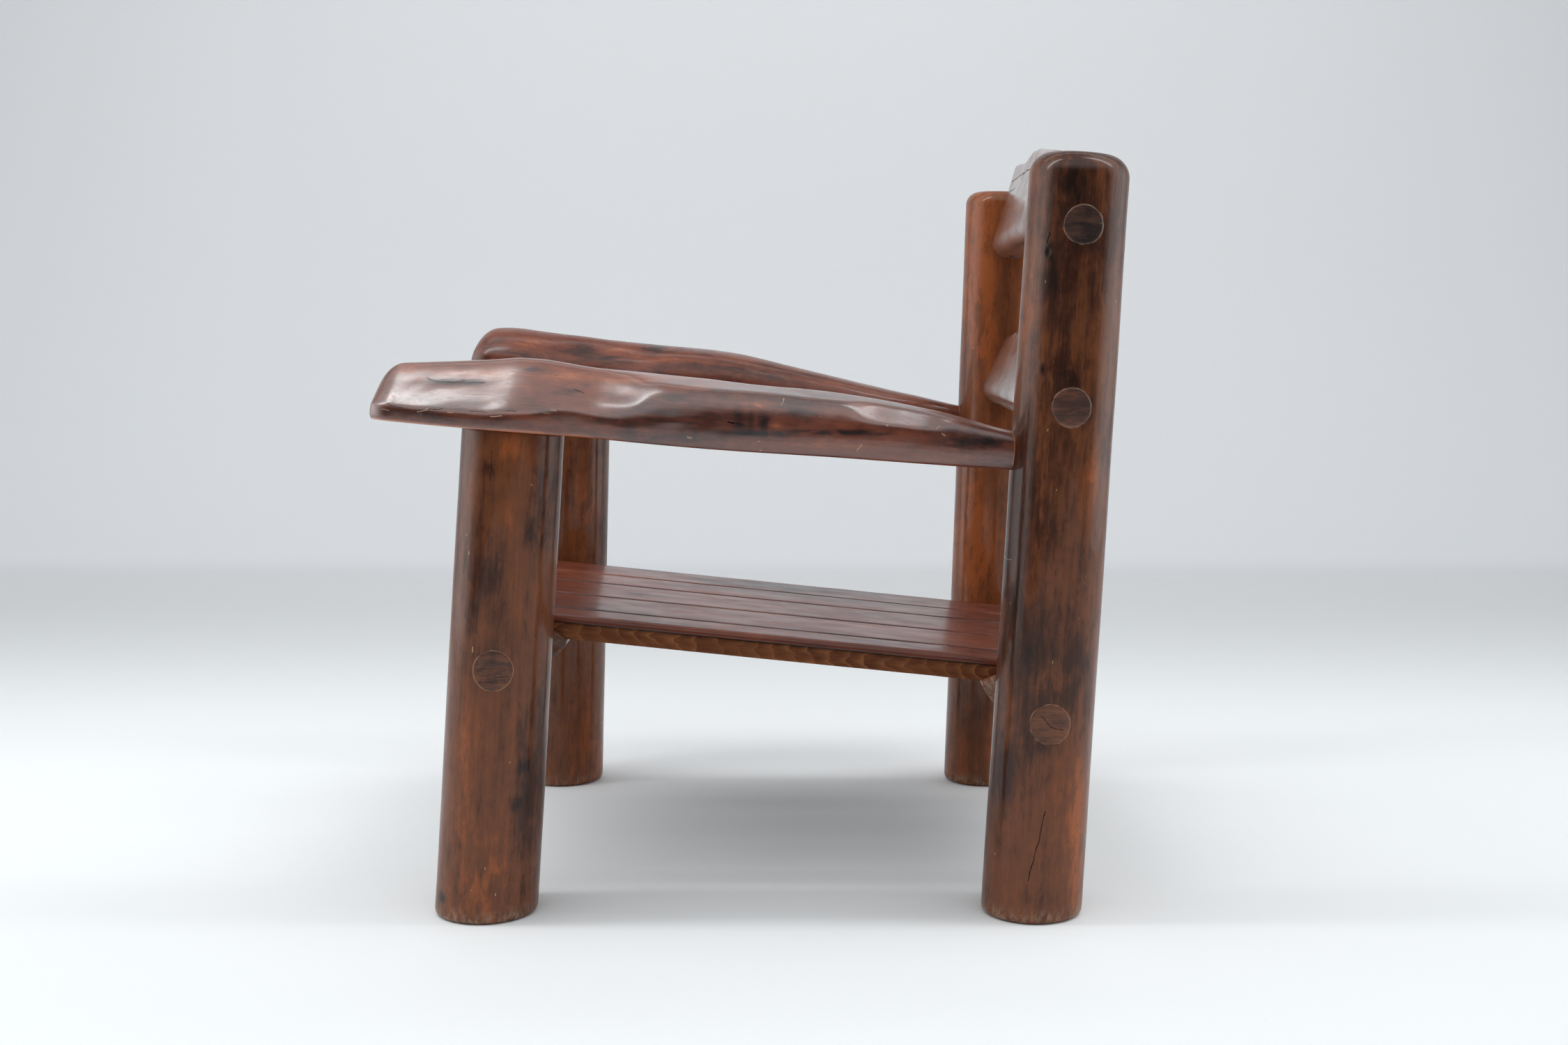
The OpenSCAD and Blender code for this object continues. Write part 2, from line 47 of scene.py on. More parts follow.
FRONT_RAIL_Z, REAR_RAIL_Z = 0.274, 0.216
FRONT_CROWN, REAR_CROWN = 0.036, 0.034  # top of a seat rail above its tenon axis
CROWN_R, BELLY_R, BELLY_DROP = 0.115, 0.072, 0.024
RAIL_HALF_W = 0.0648
WHITTLE = 0.034  # length of a seat rail's cut end

SLAT_T, SLAT_GAP = 0.009, 0.004
SLAT_W = [0.085, 0.077, 0.106, 0.106, 0.052]
SLAT_FRONT, SLAT_REAR = 0.050, 0.046  # overhang past the rail axes
BATTEN_H, BATTEN_W, BATTEN_INSET = 0.0193, 0.026, 0.003

# shift lightens or darkens the whole stain of a post: painted light, the far posts lighter and the near posts darker as
# the lamps reach them
POSTS = {
    "front_left_post": dict(side=1, front=True, lean=3.15, fall=4.7, top=0.531, seed=11, shift=-0.03),
    "front_right_post": dict(side=-1, front=True, lean=1.15, fall=7.7, top=0.566, seed=23, shift=0.03),
    "rear_left_post": dict(side=1, front=False, lean=3.75, top=0.834, round=0.026, seed=37, shift=-0.05),
    "rear_right_post": dict(side=-1, front=False, lean=2.2, top=0.836, round=0.018, seed=41, shift=0.12),
}
# Rows of an arm: place along it, height, outer and inner half width in mm
ARMS = {
    "left_arm": dict(
        side=1, z=0.531, fall=4.7, tip=0.152, post="front_left_post", rear="rear_left_post", belly=0.0015, seed=5,
        film=dict(coat=1.0, gloss=(0.15, 0.24), specular=0.3, film_index=1.7),
        rows=[
            [-1.00, 59.5, 44, 44], [-0.60, 66.5, 58, 57], [-0.20, 73.5, 64, 60], [0.03, 79, 64.44, 58],
            [0.10, 76.3, 54, 55], [0.14, 74.5, 54, 54], [0.22, 73.3, 61.5, 57], [0.38, 71.5, 60, 58],
            [0.62, 67, 46, 46], [0.80, 55, 32, 32], [0.90, 43, 18, 18], [1.00, 34, 13, 13],
        ],
    ),
    "right_arm": dict(
        side=-1, z=0.566, fall=7.7, tip=0.140, post="front_right_post", rear="rear_right_post", belly=0, seed=8,
        film=dict(coat=0.55, gloss=(0.14, 0.24), specular=0.15),
        rows=[
            [-1.00, 56, 48, 48], [-0.65, 66, 64.4, 64], [-0.20, 66, 58, 60], [0.05, 67, 54, 53],
            [0.20, 70, 58, 62], [0.38, 72, 58, 60], [0.50, 65, 50, 52], [0.70, 53, 40, 41],
            [0.80, 47, 31, 32], [0.90, 41, 18, 18], [1.00, 40, 13, 13],
        ],
    ),
}
# Rows of a back rail: place across, drop of the crest in mm
BACK_RAILS = {
    "upper_back_rail": dict(
        left_z=0.754, right_z=0.764, setback=0.005, foot_t=0.046, lean=17.5, crest=0.114, scoop=0.012, drop=0.0008,
        rows=[[-1, 3], [-0.62, 9], [-0.25, 0], [0.05, 4], [0.4, 12], [0.85, 23], [1, 26]], seed=51,
    ),
    "lower_back_rail": dict(
        left_z=0.557, right_z=0.564, setback=0.0, foot_t=0.042, lean=24.6, crest=0.081, scoop=0.002, drop=0.004,
        rows=[[-1, 13], [-0.5, 3], [0, 1.5], [0.15, 0], [0.5, 5], [0.85, 5], [1, 8]], seed=63,
    ),
}
X_AXIS = np.array([1.0, 0, 0])


def tan(a):
    return math.tan(math.radians(a))


def sin(a):
    return math.sin(math.radians(a))


def cos(a):
    return math.cos(math.radians(a))


# ---- shapes
def waves(p, size, seed, count=18):
    """Smooth random field, about -1 to 1, with swells of the given size (one number or one for each axis)."""
    rng = np.random.default_rng(seed)
    k = rng.normal(size=(count, 3))
    k *= 2 * math.pi * rng.uniform(0.6, 1.5, (count, 1)) / np.linalg.norm(k, axis=1, keepdims=True)
    phase = rng.uniform(0, 2 * math.pi, count)
    q = np.asarray(p) / np.asarray(size)
    return np.sin(q @ k.T + phase).sum(-1) * math.sqrt(2 / count) / 1.6


def smooth(lo, hi, x):
    t = np.clip((np.asarray(x) - lo) / (hi - lo), 0, 1)
    return t * t * (3 - 2 * t)


def bump(p, centre, size):
    """Soft round hump of height 1 at a place."""
    d = (np.asarray(p) - np.asarray(centre)) / np.asarray(size)
    return np.exp(-(d ** 2).sum(-1))


def along(rows, t, column):
    """Value of a column of a table of rows, carried smoothly from row to row."""
    rows = np.asarray(rows, float)
    t = np.asarray(t, float)
    i = np.clip(np.searchsorted(rows[:, 0], t, side="right") - 1, 0, len(rows) - 2)
    a, b, d, e = rows[np.maximum(i - 1, 0)], rows[i], rows[i + 1], rows[np.minimum(i + 2, len(rows) - 1)]
    run = d[..., 0] - b[..., 0]
    u = (t - b[..., 0]) / run
    first = (d[..., column] - a[..., column]) / (d[..., 0] - a[..., 0])
    second = (e[..., column] - b[..., column]) / (e[..., 0] - b[..., 0])
    return (
        b[..., column] * (2 * u ** 3 - 3 * u ** 2 + 1) + d[..., column] * (3 * u ** 2 - 2 * u ** 3)
        + run * (first * (u ** 3 - 2 * u ** 2 + u) + second * (u ** 3 - u ** 2))
    )


def resample(ring, count):
    """The same closed ring as count points at equal steps."""
    closed = np.vstack([ring, ring[:1]])
    d = np.concatenate([[0], np.cumsum(np.linalg.norm(np.diff(closed, axis=0), axis=1))])
    t = np.linspace(0, d[-1], count, endpoint=False)
    return np.stack([np.interp(t, d, closed[:, k]) for k in range(closed.shape[1])], -1)


def turn(count):
    """Angles of one turn at equal steps."""
    return np.linspace(0, 2 * math.pi, count, endpoint=False)


def tilted(fall):
    """Directions down a slope towards the back and out of it."""
    return np.array([0, cos(fall), -sin(fall)]), np.array([0, sin(fall), cos(fall)])


def normals(rows):
    """Normal directions of a grid of points that is closed across its rows."""
    du = np.roll(rows, -1, 1) - np.roll(rows, 1, 1)
    dv = np.gradient(rows, axis=0)
    n = np.cross(du, dv)
    return n / np.maximum(np.linalg.norm(n, axis=-1, keepdims=True), 1e-12)


def outward(rows):
    """Normals of a grid of points, turned away from the middle of each row."""
    n = normals(rows)
    return n * np.sign(((rows - rows.mean(1, keepdims=True)) * n).sum(-1, keepdims=True) + 1e-12)


def shrunk(ring, shares):
    """Smaller copies of a ring round its own middle."""
    middle = ring.mean(0)
    return [middle + (ring - middle) * k for k in shares]


def in_axes(local, origin, ex, ey, ez):
    """Points given along three axes from an origin."""
    return origin + local[..., :1] * ex + local[..., 1:2] * ey + local[..., 2:3] * ez


def placed(name, data):
    obj = bpy.data.objects.new(name, data)
    bpy.context.scene.collection.objects.link(obj)
    return obj


def mesh_object(name, points, faces, material):
    mesh = bpy.data.meshes.new(name)
    mesh.from_pydata(points.tolist(), [], faces)
    mesh.polygons.foreach_set("use_smooth", [True] * len(mesh.polygons))
    mesh.materials.append(material)
    return placed(name, mesh)


class Solid:
    """Collects closed skins and makes one mesh object of them."""

    def __init__(self):
        self.points, self.faces, self.grain, self.tone, self.wear, self.count = [], [], [], [], [], 0

    def skin(self, rows, grain, tone=0.0, wear=0.0):
        """Skin over rows of points; the first and last rows are drawn together to one point."""
        rows = np.asarray(rows, float)
        m, n = rows.shape[:2]

        def pick(a):
            return np.concatenate([a[0].mean(0)[None], a[1:-1].reshape(-1, *a.shape[2:]), a[-1].mean(0)[None]])

        p = pick(rows)
        j = np.arange(n)
        k = (j + 1) % n
        last = 1 + (m - 2) * n
        faces = [np.stack([np.zeros(n, int), 1 + k, 1 + j, 1 + j], -1)]
        for i in range(m - 3):
            a = 1 + i * n
            faces.append(np.stack([a + j, a + k, a + n + k, a + n + j], -1))
        a = 1 + (m - 3) * n
        faces.append(np.stack([a + j, a + k, np.full(n, last), np.full(n, last)], -1))
        faces = np.concatenate(faces)
        t = p[faces]
        volume = np.einsum("ij,ij->i", t[:, 0], np.cross(t[:, 1], t[:, 2]) + np.cross(t[:, 2], t[:, 3])).sum()
        if volume < 0:
            faces = faces[:, ::-1]
        self.points.append(p)
        self.grain.append(pick(np.asarray(grain, float)))
        self.tone.append(pick(np.broadcast_to(tone, (m, n))))
        self.wear.append(pick(np.broadcast_to(wear, (m, n))))
        self.faces += [list(dict.fromkeys(f)) for f in (faces + self.count).tolist()]
        self.count += len(p)

    def object(self, name, material, slot, *nodes):
        obj = mesh_object(name, np.concatenate(self.points), self.faces, material)
        grain = obj.data.attributes.new("grain", "FLOAT_VECTOR", "POINT")
        grain.data.foreach_set("vector", np.concatenate(self.grain).ravel())
        for key, values in (("tone", self.tone), ("wear", self.wear)):
            obj.data.attributes.new(key, "FLOAT", "POINT").data.foreach_set("value", np.concatenate(values))
        obj.data.update()
        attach(obj, "root")
        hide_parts(*nodes)


def marks(features, pts, facing, grain):
    """Tone and push of spots given by kind, place and size in Y and Z, and amount; a knot also bends the grain."""
    tone = np.zeros(facing.shape)
    push = np.zeros(facing.shape)
    for kind, spots in features.items():
        for y, z, size_y, size_z, amount in spots:
            d = bump(pts[..., 1:], (y, z), (size_y, size_z)) * facing
            if kind == "tone":
                tone += amount * d
            elif kind == "push":
                push += 0.001 * amount * d
            else:
                push += 0.001 * amount * (d ** 0.5 - 1.4 * d ** 3)
                tone -= 1.1 * amount * d
                grain[..., 1] += 0.004 * amount * d ** 0.3 * (pts[..., 1] - y) / size_y
    return tone, push


# ---- posts
def post_axis(name):
    """Foot point, direction along the log and direction across it towards the back."""
    p = POSTS[name]
    foot = np.array([p["side"] * HALF_SPAN, FRONT_Y if p["front"] else REAR_Y, 0.0])
    return foot, np.array([0, sin(p["lean"]), cos(p["lean"])]), np.array([0, cos(p["lean"]), -sin(p["lean"])])


def on_axis(name, z):
    """Point of a post's axis at a height."""
    foot, up, _ = post_axis(name)
    return foot + up * z / up[2]


def base_radius(name):
    return FRONT_R if POSTS[name]["front"] else REAR_R


def log_radius(name, theta, w):
    """Radius of a peeled log: a little out of round, with planed ripples."""
    r = base_radius(name)
    seed = POSTS[name]["seed"]
    theta, w = np.broadcast_arrays(theta, w)
    q = np.stack([r * np.cos(theta), r * np.sin(theta), w * 0.35], -1)
    r = r + 0.0003 * waves(q, 0.09, seed) + 0.00006 * waves(q, 0.025, seed + 1)
    q[..., 2] *= 1.6
    return r + 0.00002 * waves(q, 0.011, seed + 2)


def make_post(name, material, features):
    p = POSTS[name]
    foot, up, back = post_axis(name)
    theta = turn(176)
    length = p["top"] / cos(p["lean"])
    # Rows as share of the full radius, inset from it, height along the axis
    rows = [(0.0, 0, 0.0), (0.5, 0, 0.0), (1, FOOT_BEVEL + 0.0015, 0.0)]
    rows += [(1, FOOT_BEVEL * (1 - sin(a)), FOOT_BEVEL * (1 - cos(a))) for a in np.linspace(8, 82, 6)]
    if p["front"]:
        rows += [(1, 0, w) for w in np.linspace(FOOT_BEVEL + 0.002, length - 0.0015, 230)]
        rows += [(1, 0.0008, length - 0.0002), (0.9, 0, length), (0.5, 0, length), (0.0, 0, length)]
    else:
        top = p["round"]
        rows += [(1, 0, w) for w in np.linspace(FOOT_BEVEL + 0.002, length - top, 290)]
        rows += [(1, top * (1 - cos(a)), length - top + top * sin(a)) for a in np.linspace(6, 84, 14)]
        edge = 1 - top / base_radius(name)
        rows += [(edge * s, 0, length + 0.0012 * (1 - s * s)) for s in (0.96, 0.8, 0.6, 0.4, 0.2, 0.0)]
    share, inset, w = np.array(rows).T[..., None]
    w = w * np.ones_like(theta)
    r = share * log_radius(name, theta, w) - inset * (share > 0)
    w = w + smooth(0.06, 0.0, w) * r * np.sin(theta) * tan(p["lean"])
    if p["front"]:
        w = w - smooth(length - 0.08, length, w) * r * np.sin(theta) * tan(p["fall"] - p["lean"])
    local = np.stack([r * np.cos(theta), r * np.sin(theta), w], -1)
    pts = in_axes(local, foot, X_AXIS, back, up)
    seed = p["seed"]
    grain = local + np.array([seed * 0.37, seed * 0.11, seed * 0.53])
    grain[..., 0] += 0.004 * waves(local * [1, 1, 0.3], 0.09, seed + 4)
    tone, push = marks(features, pts, smooth(-0.25, 0.1, np.cos(theta) * np.ones_like(w)), grain)
    pts = pts + outward(pts) * (push * (share > 0.99))[..., None]
    # Painted light: the posts are painted lighter towards the floor, for the light that the white floor throws back on
    # them
    tone = tone + 0.35 * smooth(0.22, 0.03, pts[..., 2])
    wear = smooth(0.022, 0.002, pts[..., 2]) * (0.6 + 0.4 * waves(local, 0.02, seed + 6))
    pts[..., 2] = np.maximum(pts[..., 2], 0)
    solid = Solid()
    solid.skin(pts, grain, tone, np.clip(wear, 0, 1))
    solid.object(name + "_log", material, "post_wood", name)


def tenon_end(solid, name, start, direction, seed):
    """Round tenon from inside a post out to its face, where it ends flush and a little proud."""
    side = POSTS[name]["side"]
    foot, up, back = post_axis(name)
    base = base_radius(name)
    e2 = np.cross(direction, [0, 1.0, 0])
    e1 = np.cross(e2, direction)
    phi = turn(72)
    circle = TENON_R * (np.cos(phi)[:, None] * e1 + np.sin(phi)[:, None] * e2)

    def cut(off, x):
        """The tenon's lines through off, cut at x."""
        return start + off + ((x - start[0] - off[:, 0]) / direction[0])[:, None] * direction

    rings = [(s, 0.00028) for s in (0.0, 0.2, 0.4, 0.6, 0.75, 0.88, 0.95)]
    rings += [(0.985, 0.00012), (0.998, -0.0006), (1.0, -0.004)]
    rows = []
    for share, proud in rings:
        x = np.full(len(phi), side * (HALF_SPAN + base))
        for _ in range(5):
            q = cut(share * circle, x) - foot
            w, v = q @ up, q @ back
            u = side * np.sqrt(np.maximum(base ** 2 - v ** 2, 1e-9))
            r = log_radius(name, np.arctan2(v, u), w) + proud
            x = foot[0] + side * np.sqrt(np.maximum(r ** 2 - v ** 2, 1e-9))
        rows.append(cut(share * circle, x))
    rows += [cut(share * circle, side * (HALF_SPAN - TENON_DEPTH)) for share in (1.0, 0.0)]
    rows = np.array(rows)
    solid.skin(rows, rows[..., [2, 0, 1]] * [1, 0.12, 1] + seed * 0.31, -0.5)


# ---- arms
def arm_frame(name):
    """Origin over the front post, directions down the arm and out of it, and way to the rear post's axis."""
    a = ARMS[name]
    origin = on_axis(a["post"], a["z"])
    gap = on_axis(a["rear"], a["z"])[1] - origin[1]
    lean = POSTS[a["rear"]]["lean"]
    return origin, *tilted(a["fall"]), gap * cos(lean) / cos(a["fall"] - lean)


# Section form along an arm: 1 a roof, 0 a soft box, less than 0 a fuller box
FACETS = [(-1, 1), (0.15, 1), (0.2, 0.6), (0.26, 0.0), (0.35, -0.15), (1, -0.15)]


def arm_half(w, t, arris, belly, facet, tuck, shed, cut):
    """Half section of an arm, w wide and t high: low edge up to the arris, then a crown whose top sheds outward."""
    a = np.radians(np.arange(3, 90, 3))
    edge = [[w - 0.0035 - 0.0055 * tuck, -belly], [w - 0.0012 - 0.0038 * tuck, 0.10 * arris - 0.9 * belly],
            [w - 0.0003 - 0.0019 * tuck, 0.34 * arris - 0.5 * belly], [w - 0.0004 * tuck, 0.70 * arris], [w, arris]]
    full = min(facet, 0.0)
    crown = np.stack([
        w * np.cos(a) ** (0.84 + 1.06 * full), arris + (t - arris) * np.sin(a) ** (0.84 + 0.91 * full),
    ], -1)
    crown[:, 1] = np.minimum(crown[:, 1], t - shed * crown[:, 0])
    crown[:, 1] = np.minimum(crown[:, 1], t + 0.4 * w - crown[:, 0] + 0.03 * (1 - cut))
    x = w * np.cos(a) ** 1.3
    ridge = min(0.011, 0.2 * w)
    shoulder = max(arris, t - 0.9 * w)
    slope = (t - shoulder) / (math.hypot(w, ridge) - ridge)
    roof = np.stack([x, t - slope * (np.hypot(x, ridge) - ridge)], -1)
    return np.vstack([edge, crown + (roof - crown) * max(facet, 0.0)])


def make_arm(name, material, features):
    a = ARMS[name]
    origin, down, out, run = arm_frame(name)
    nose = 0.026
    tip = a["tip"]
    places = np.concatenate([
        -tip + nose * np.array([0.0, 0.004, 0.02, 0.05, 0.1, 0.17, 0.25, 0.35, 0.47, 0.6, 0.73, 0.86]),
        np.linspace(nose - tip, 0.0, 60, endpoint=False), np.linspace(0, run - 0.030, 220),
    ])
    rings = []
    for s in places:
        place = s / tip if s < 0 else s / run
        share = min(1.0, max(0.0, (s + tip) / nose))
        swell = math.sqrt(1 - (1 - share) ** 2)
        t, outer, inner = [0.001 * along(a["rows"], place, column) for column in (1, 2, 3)]
        t *= 0.42 + 0.58 * swell
        shrink = 0.60 + 0.40 * swell
        arris = 0.012 + 0.008 * max(0, place) + 0.005 * math.exp(-((place - 0.66) / 0.16) ** 2)
        arris = min(arris + 0.0045 * smooth(0.36, 0.22, place), 0.45 * t)
        facet = np.interp(place, *zip(*FACETS))
        belly = a["belly"] * (1 - math.cos(2 * math.pi * (place - 0.1) / 0.52)) / 2 if 0.1 < place < 0.62 else 0
        tuck = smooth(0.05, 0.35, place)
        cut = smooth(0.56, 0.64, place) * smooth(0.84, 0.75, place)
        outside = arm_half(outer * shrink, t, arris, belly, facet, tuck, 0.2, cut)
        inside = arm_half(inner * shrink, t, arris, belly, 0.35 * facet, tuck, 0.0, 0.0)
        rings.append(resample(np.vstack([outside, [[0, t]], inside[::-1] * [-1, 1]]), 200))
    rings = np.array(rings)
    # Ease the kinks along the arm, then those across it, and give each section its own height back
    body = smooth(nose - tip, nose - tip + 0.02, places) * smooth(run - 0.05, run - 0.08, places)
    for _ in range(24):
        rings[1:-1] += (rings[:-2] - 2 * rings[1:-1] + rings[2:]) * 0.25 * body[1:-1, None, None]
    crest = rings[..., 1].max(1, keepdims=True)
    upper = smooth(0.45, 0.75, rings[..., 1] / crest)
    front = smooth(0.44, 0.30, places[:, None] / run)
    for eased in (np.maximum(upper, front * smooth(0.005, 0.011, rings[..., 1])), front * upper):
        soft = sum(np.roll(rings, k, 1) * c for k, c in zip(range(-4, 5), (1, 3, 6, 9, 10, 9, 6, 3, 1))) / 48
        rings = rings + (soft - rings) * eased[..., None]
    rings[..., 1] *= 1 + (crest / rings[..., 1].max(1, keepdims=True) - 1) * upper
    rings = np.concatenate([shrunk(rings[0], (0.0, 0.45, 0.8)), rings, shrunk(rings[-1], (0.6, 0.0))])
    s = np.concatenate([places[0] - np.array([0.0016, 0.0013, 0.0006]), places, [places[-1]] * 2])
    s = s[:, None] * np.ones(rings.shape[1])
    local = np.stack([rings[..., 0], s, rings[..., 1]], -1)
    axes = (origin, a["side"] * X_AXIS, down, out)
    free = smooth(0.0, 0.006, local[..., 2]) * smooth(run - 0.045, run - 0.075, s)
    seed = a["seed"]
    push = 0.0005 * waves(local * [1, 0.5, 1], 0.06, seed) + 0.00007 * waves(local * [1, 0.8, 1], 0.022, seed + 1)
    grain = local[..., [0, 2, 1]] + seed * 0.71
    facing = smooth(-0.012, 0.004, local[..., 0] * a["side"])
    tone, carved = marks(features, in_axes(local, *axes), facing, grain)
    local = local + outward(local) * ((push + carved) * free)[..., None]
    # The nose's bottom edge is painted as a thin lighter, amber line
    amber_low_edge = np.exp(-((local[..., 2] + 0.0002) / 0.0020) ** 2) * smooth(0.16, 0.02, s)
    solid = Solid()
    solid.skin(in_axes(local, *axes), grain, 0.75 * tone + 3.0 * amber_low_edge)
    solid.object(name + "_carved", material, "arm_wood", name)


# ---- back rails
def rounded(p, before, after, r, steps=7):
    """Points of the arc that rounds a corner."""
    a = (before - p) / np.linalg.norm(before - p)
    b = (after - p) / np.linalg.norm(after - p)
    half = math.acos(float(a @ b)) / 2
    centre = p + (a + b) / np.linalg.norm(a + b) * r / math.sin(half)
    start = p + a * r / math.tan(half) - centre
    end = p + b * r / math.tan(half) - centre
    sweep = math.pi - 2 * half
    k = np.arange(steps + 1)[:, None] / steps
    return centre + (np.sin(sweep * (1 - k)) * start + np.sin(sweep * k) * end) / math.sin(sweep)


def back_rail_frame(rail):
    """Middle and directions of a back rail's tenon axis, and its slope towards the back."""
    left = on_axis("rear_left_post", rail["left_z"])
    right = on_axis("rear_right_post", rail["right_z"]) + [0, rail["setback"], 0]
    span = left - right
    yaw = math.atan2(span[1], 2 * HALF_SPAN)
    pitch = math.atan2(span[2], 2 * HALF_SPAN)
    ex = np.array([math.cos(yaw) * math.cos(pitch), math.sin(yaw) * math.cos(pitch), math.sin(pitch)])
    ey = np.array([-math.sin(yaw), math.cos(yaw), 0])
    return (left + right) / 2, ex, ey, np.cross(ex, ey), span[1] / (2 * HALF_SPAN)


def make_back_rail(name, material):
    rail = BACK_RAILS[name]
    middle, ex, ey, ez, skew = back_rail_frame(rail)
    inner = HALF_SPAN - REAR_R
    reach = inner + 0.012
    xs = np.linspace(-reach, reach, 250)
    rings = []
    slope = tan(rail["lean"])
    low = 0.012  # height over the tenon axis at which foot_t is measured
    for x in xs:
        place = max(-1.0, min(1.0, x / inner))
        crest = rail["crest"] - along(rail["rows"], place, 1) * 0.001
        bottom = rail["scoop"] * (1 - place ** 2) - TENON_R - rail["drop"]
        front = -rail["foot_t"] / 2 - skew * (x + inner)
        low_front = np.array([front - (low - bottom) * slope, bottom])
        top_front = np.array([front + (crest - low) * slope, crest])
        top_back = top_front + [0.028, -0.004]
        low_back = np.array([rail["foot_t"] / 2 + 0.003, bottom])
        ring = np.vstack([
            rounded(low_front, low_back, top_front, 0.020), rounded(top_front, low_front, top_back, 0.009),
            rounded(top_back, top_front, low_back, 0.011), rounded(low_back, top_back, low_front, 0.016),
        ])
        rings.append(resample(ring, 132))
    rings = np.array(rings)
    rings = np.concatenate([shrunk(rings[0], (0.0, 0.6)), rings, shrunk(rings[-1], (0.6, 0.0))])
    x = np.concatenate([[xs[0]] * 2, xs, [xs[-1]] * 2])[:, None] * np.ones(rings.shape[1])
    local = np.stack([x, rings[..., 0], rings[..., 1]], -1)
    seed = rail["seed"]
    crest_edge = smooth(0.6 * rail["crest"], 0.95 * rail["crest"], local[..., 2])
    push = 0.0003 * waves(local * [0.5, 1, 1], 0.06, seed) + 0.00006 * waves(local * [0.6, 1, 1], 0.018, seed + 1)
    push += 0.0009 * crest_edge * waves(local, 0.035, seed + 2)
    local = local + outward(local) * push[..., None]
    solid = Solid()
    solid.skin(in_axes(local, middle, ex, ey, ez), local[..., [1, 2, 0]] + seed * 0.17)
    tenon_end(solid, "rear_left_post", middle, ex, seed)
    tenon_end(solid, "rear_right_post", middle, ex, seed + 3)
    solid.object(name + "_slab", material, "back_wood", name)


# ---- seat
def seat_frame():
    """Origin, directions down the seat and out of it, way between the rails and the seat's fall."""
    front = on_axis("front_left_post", FRONT_RAIL_Z)
    rear = on_axis("rear_left_post", REAR_RAIL_Z)
    dy, dz = rear[1] - front[1], front[2] - rear[2]
    step = FRONT_CROWN - REAR_CROWN
    fall = math.degrees(math.atan2(dz, dy) + math.asin(step / math.hypot(dy, dz)))
    return front * [0, 1, 1], *tilted(fall), (dy - step * sin(fall)) / cos(fall), fall


def rail_line(front):
    """Middle and directions of a seat rail's tenon axis."""
    origin, down, out, run, fall = seat_frame()
    n = 0 if front else FRONT_CROWN - REAR_CROWN
    post = "front_right_post" if front else "rear_right_post"
    foot = post_axis(post)[0]
    lean = POSTS[post]["lean"]
    left = 0 if front else run
    right = (foot[1] - origin[1]) * cos(lean) + FRONT_RAIL_Z * sin(lean) - n * sin(fall - lean)
    right /= cos(fall - lean)
    yaw = math.atan2(left - right, 2 * HALF_SPAN)
    middle = origin + down * (left + right) / 2 + out * n
    ex = math.cos(yaw) * X_AXIS + math.sin(yaw) * down
    ey = -math.sin(yaw) * X_AXIS + math.cos(yaw) * down
    return middle, ex, ey, out


def soft_min(values, k=0.0016):
    """Smallest of some values, with the change from one to another rounded."""
    values = np.stack(values)
    return -k * np.log(np.exp(-(values - values.min(0)) / k).sum(0)) + values.min(0)


def make_seat_rail(front, material):
    middle, ex, ey, ez = rail_line(front)
    crown = FRONT_CROWN if front else REAR_CROWN
    inner = HALF_SPAN - FRONT_R
    xs = np.concatenate([np.linspace(-inner, -inner + 0.05, 60), np.linspace(-inner + 0.052, inner - 0.052, 110),
                         np.linspace(inner - 0.05, inner, 60)])
    phi = turn(128)
    x = xs[:, None] * np.ones_like(phi)

    def ray(centre, r):
        """Way from the tenon axis to a round whose centre lies above it."""
        c = centre * np.sin(phi)
        return c + np.sqrt(c * c + r * r - centre * centre) + 0 * x

    seed = 71 if front else 83
    q = np.stack([x, np.cos(phi) * 0.04 + 0 * x, np.sin(phi) * 0.04 + 0 * x], -1)
    end = (inner - np.abs(x)) / WHITTLE
    facets = 0.0022 * np.abs(waves(q * [0.6, 1, 1], 0.016, seed))
    facets += 0.0012 * np.sin(9 * phi + 2 * np.sign(x) + 14 * end)
    neck = TENON_R + 0.003
    cone = neck + (0.144 - neck) * end - facets * smooth(0, 0.12, end) * 2
    wide = RAIL_HALF_W / np.maximum(np.abs(np.cos(phi)), 1e-6) + 0 * x
    top = ray(crown - CROWN_R, CROWN_R)
    rho = soft_min([top, ray(BELLY_R - BELLY_DROP, BELLY_R), wide, cone])
    rho = rho + 0.0005 * waves(q * [0.4, 1, 1], 0.04, seed + 1)
    rho = np.where((np.sin(phi) > 0.3) & (end > 0.2), np.minimum(rho, top), rho)
    local = np.stack([x, rho * np.cos(phi), rho * np.sin(phi)], -1)
    local = np.concatenate([local[:1] * [1, 0, 0], local, local[-1:] * [1, 0, 0]])
    cut = smooth(0.045, 0.025, inner - np.abs(local[..., 0]))
    solid = Solid()
    solid.skin(in_axes(local, middle, ex, ey, ez), local[..., [1, 2, 0]] + seed * 0.23,
               (-0.3 if front else 0.3) * cut, (0.15 if front else 1.0) * cut)
    place = "front_" if front else "rear_"
    for side in ("left", "right"):
        tenon_end(solid, place + side + "_post", middle, ex, seed)
    solid.object(place + "seat_rail_split_log", material, "seat_rail_wood", place + "seat_rail")


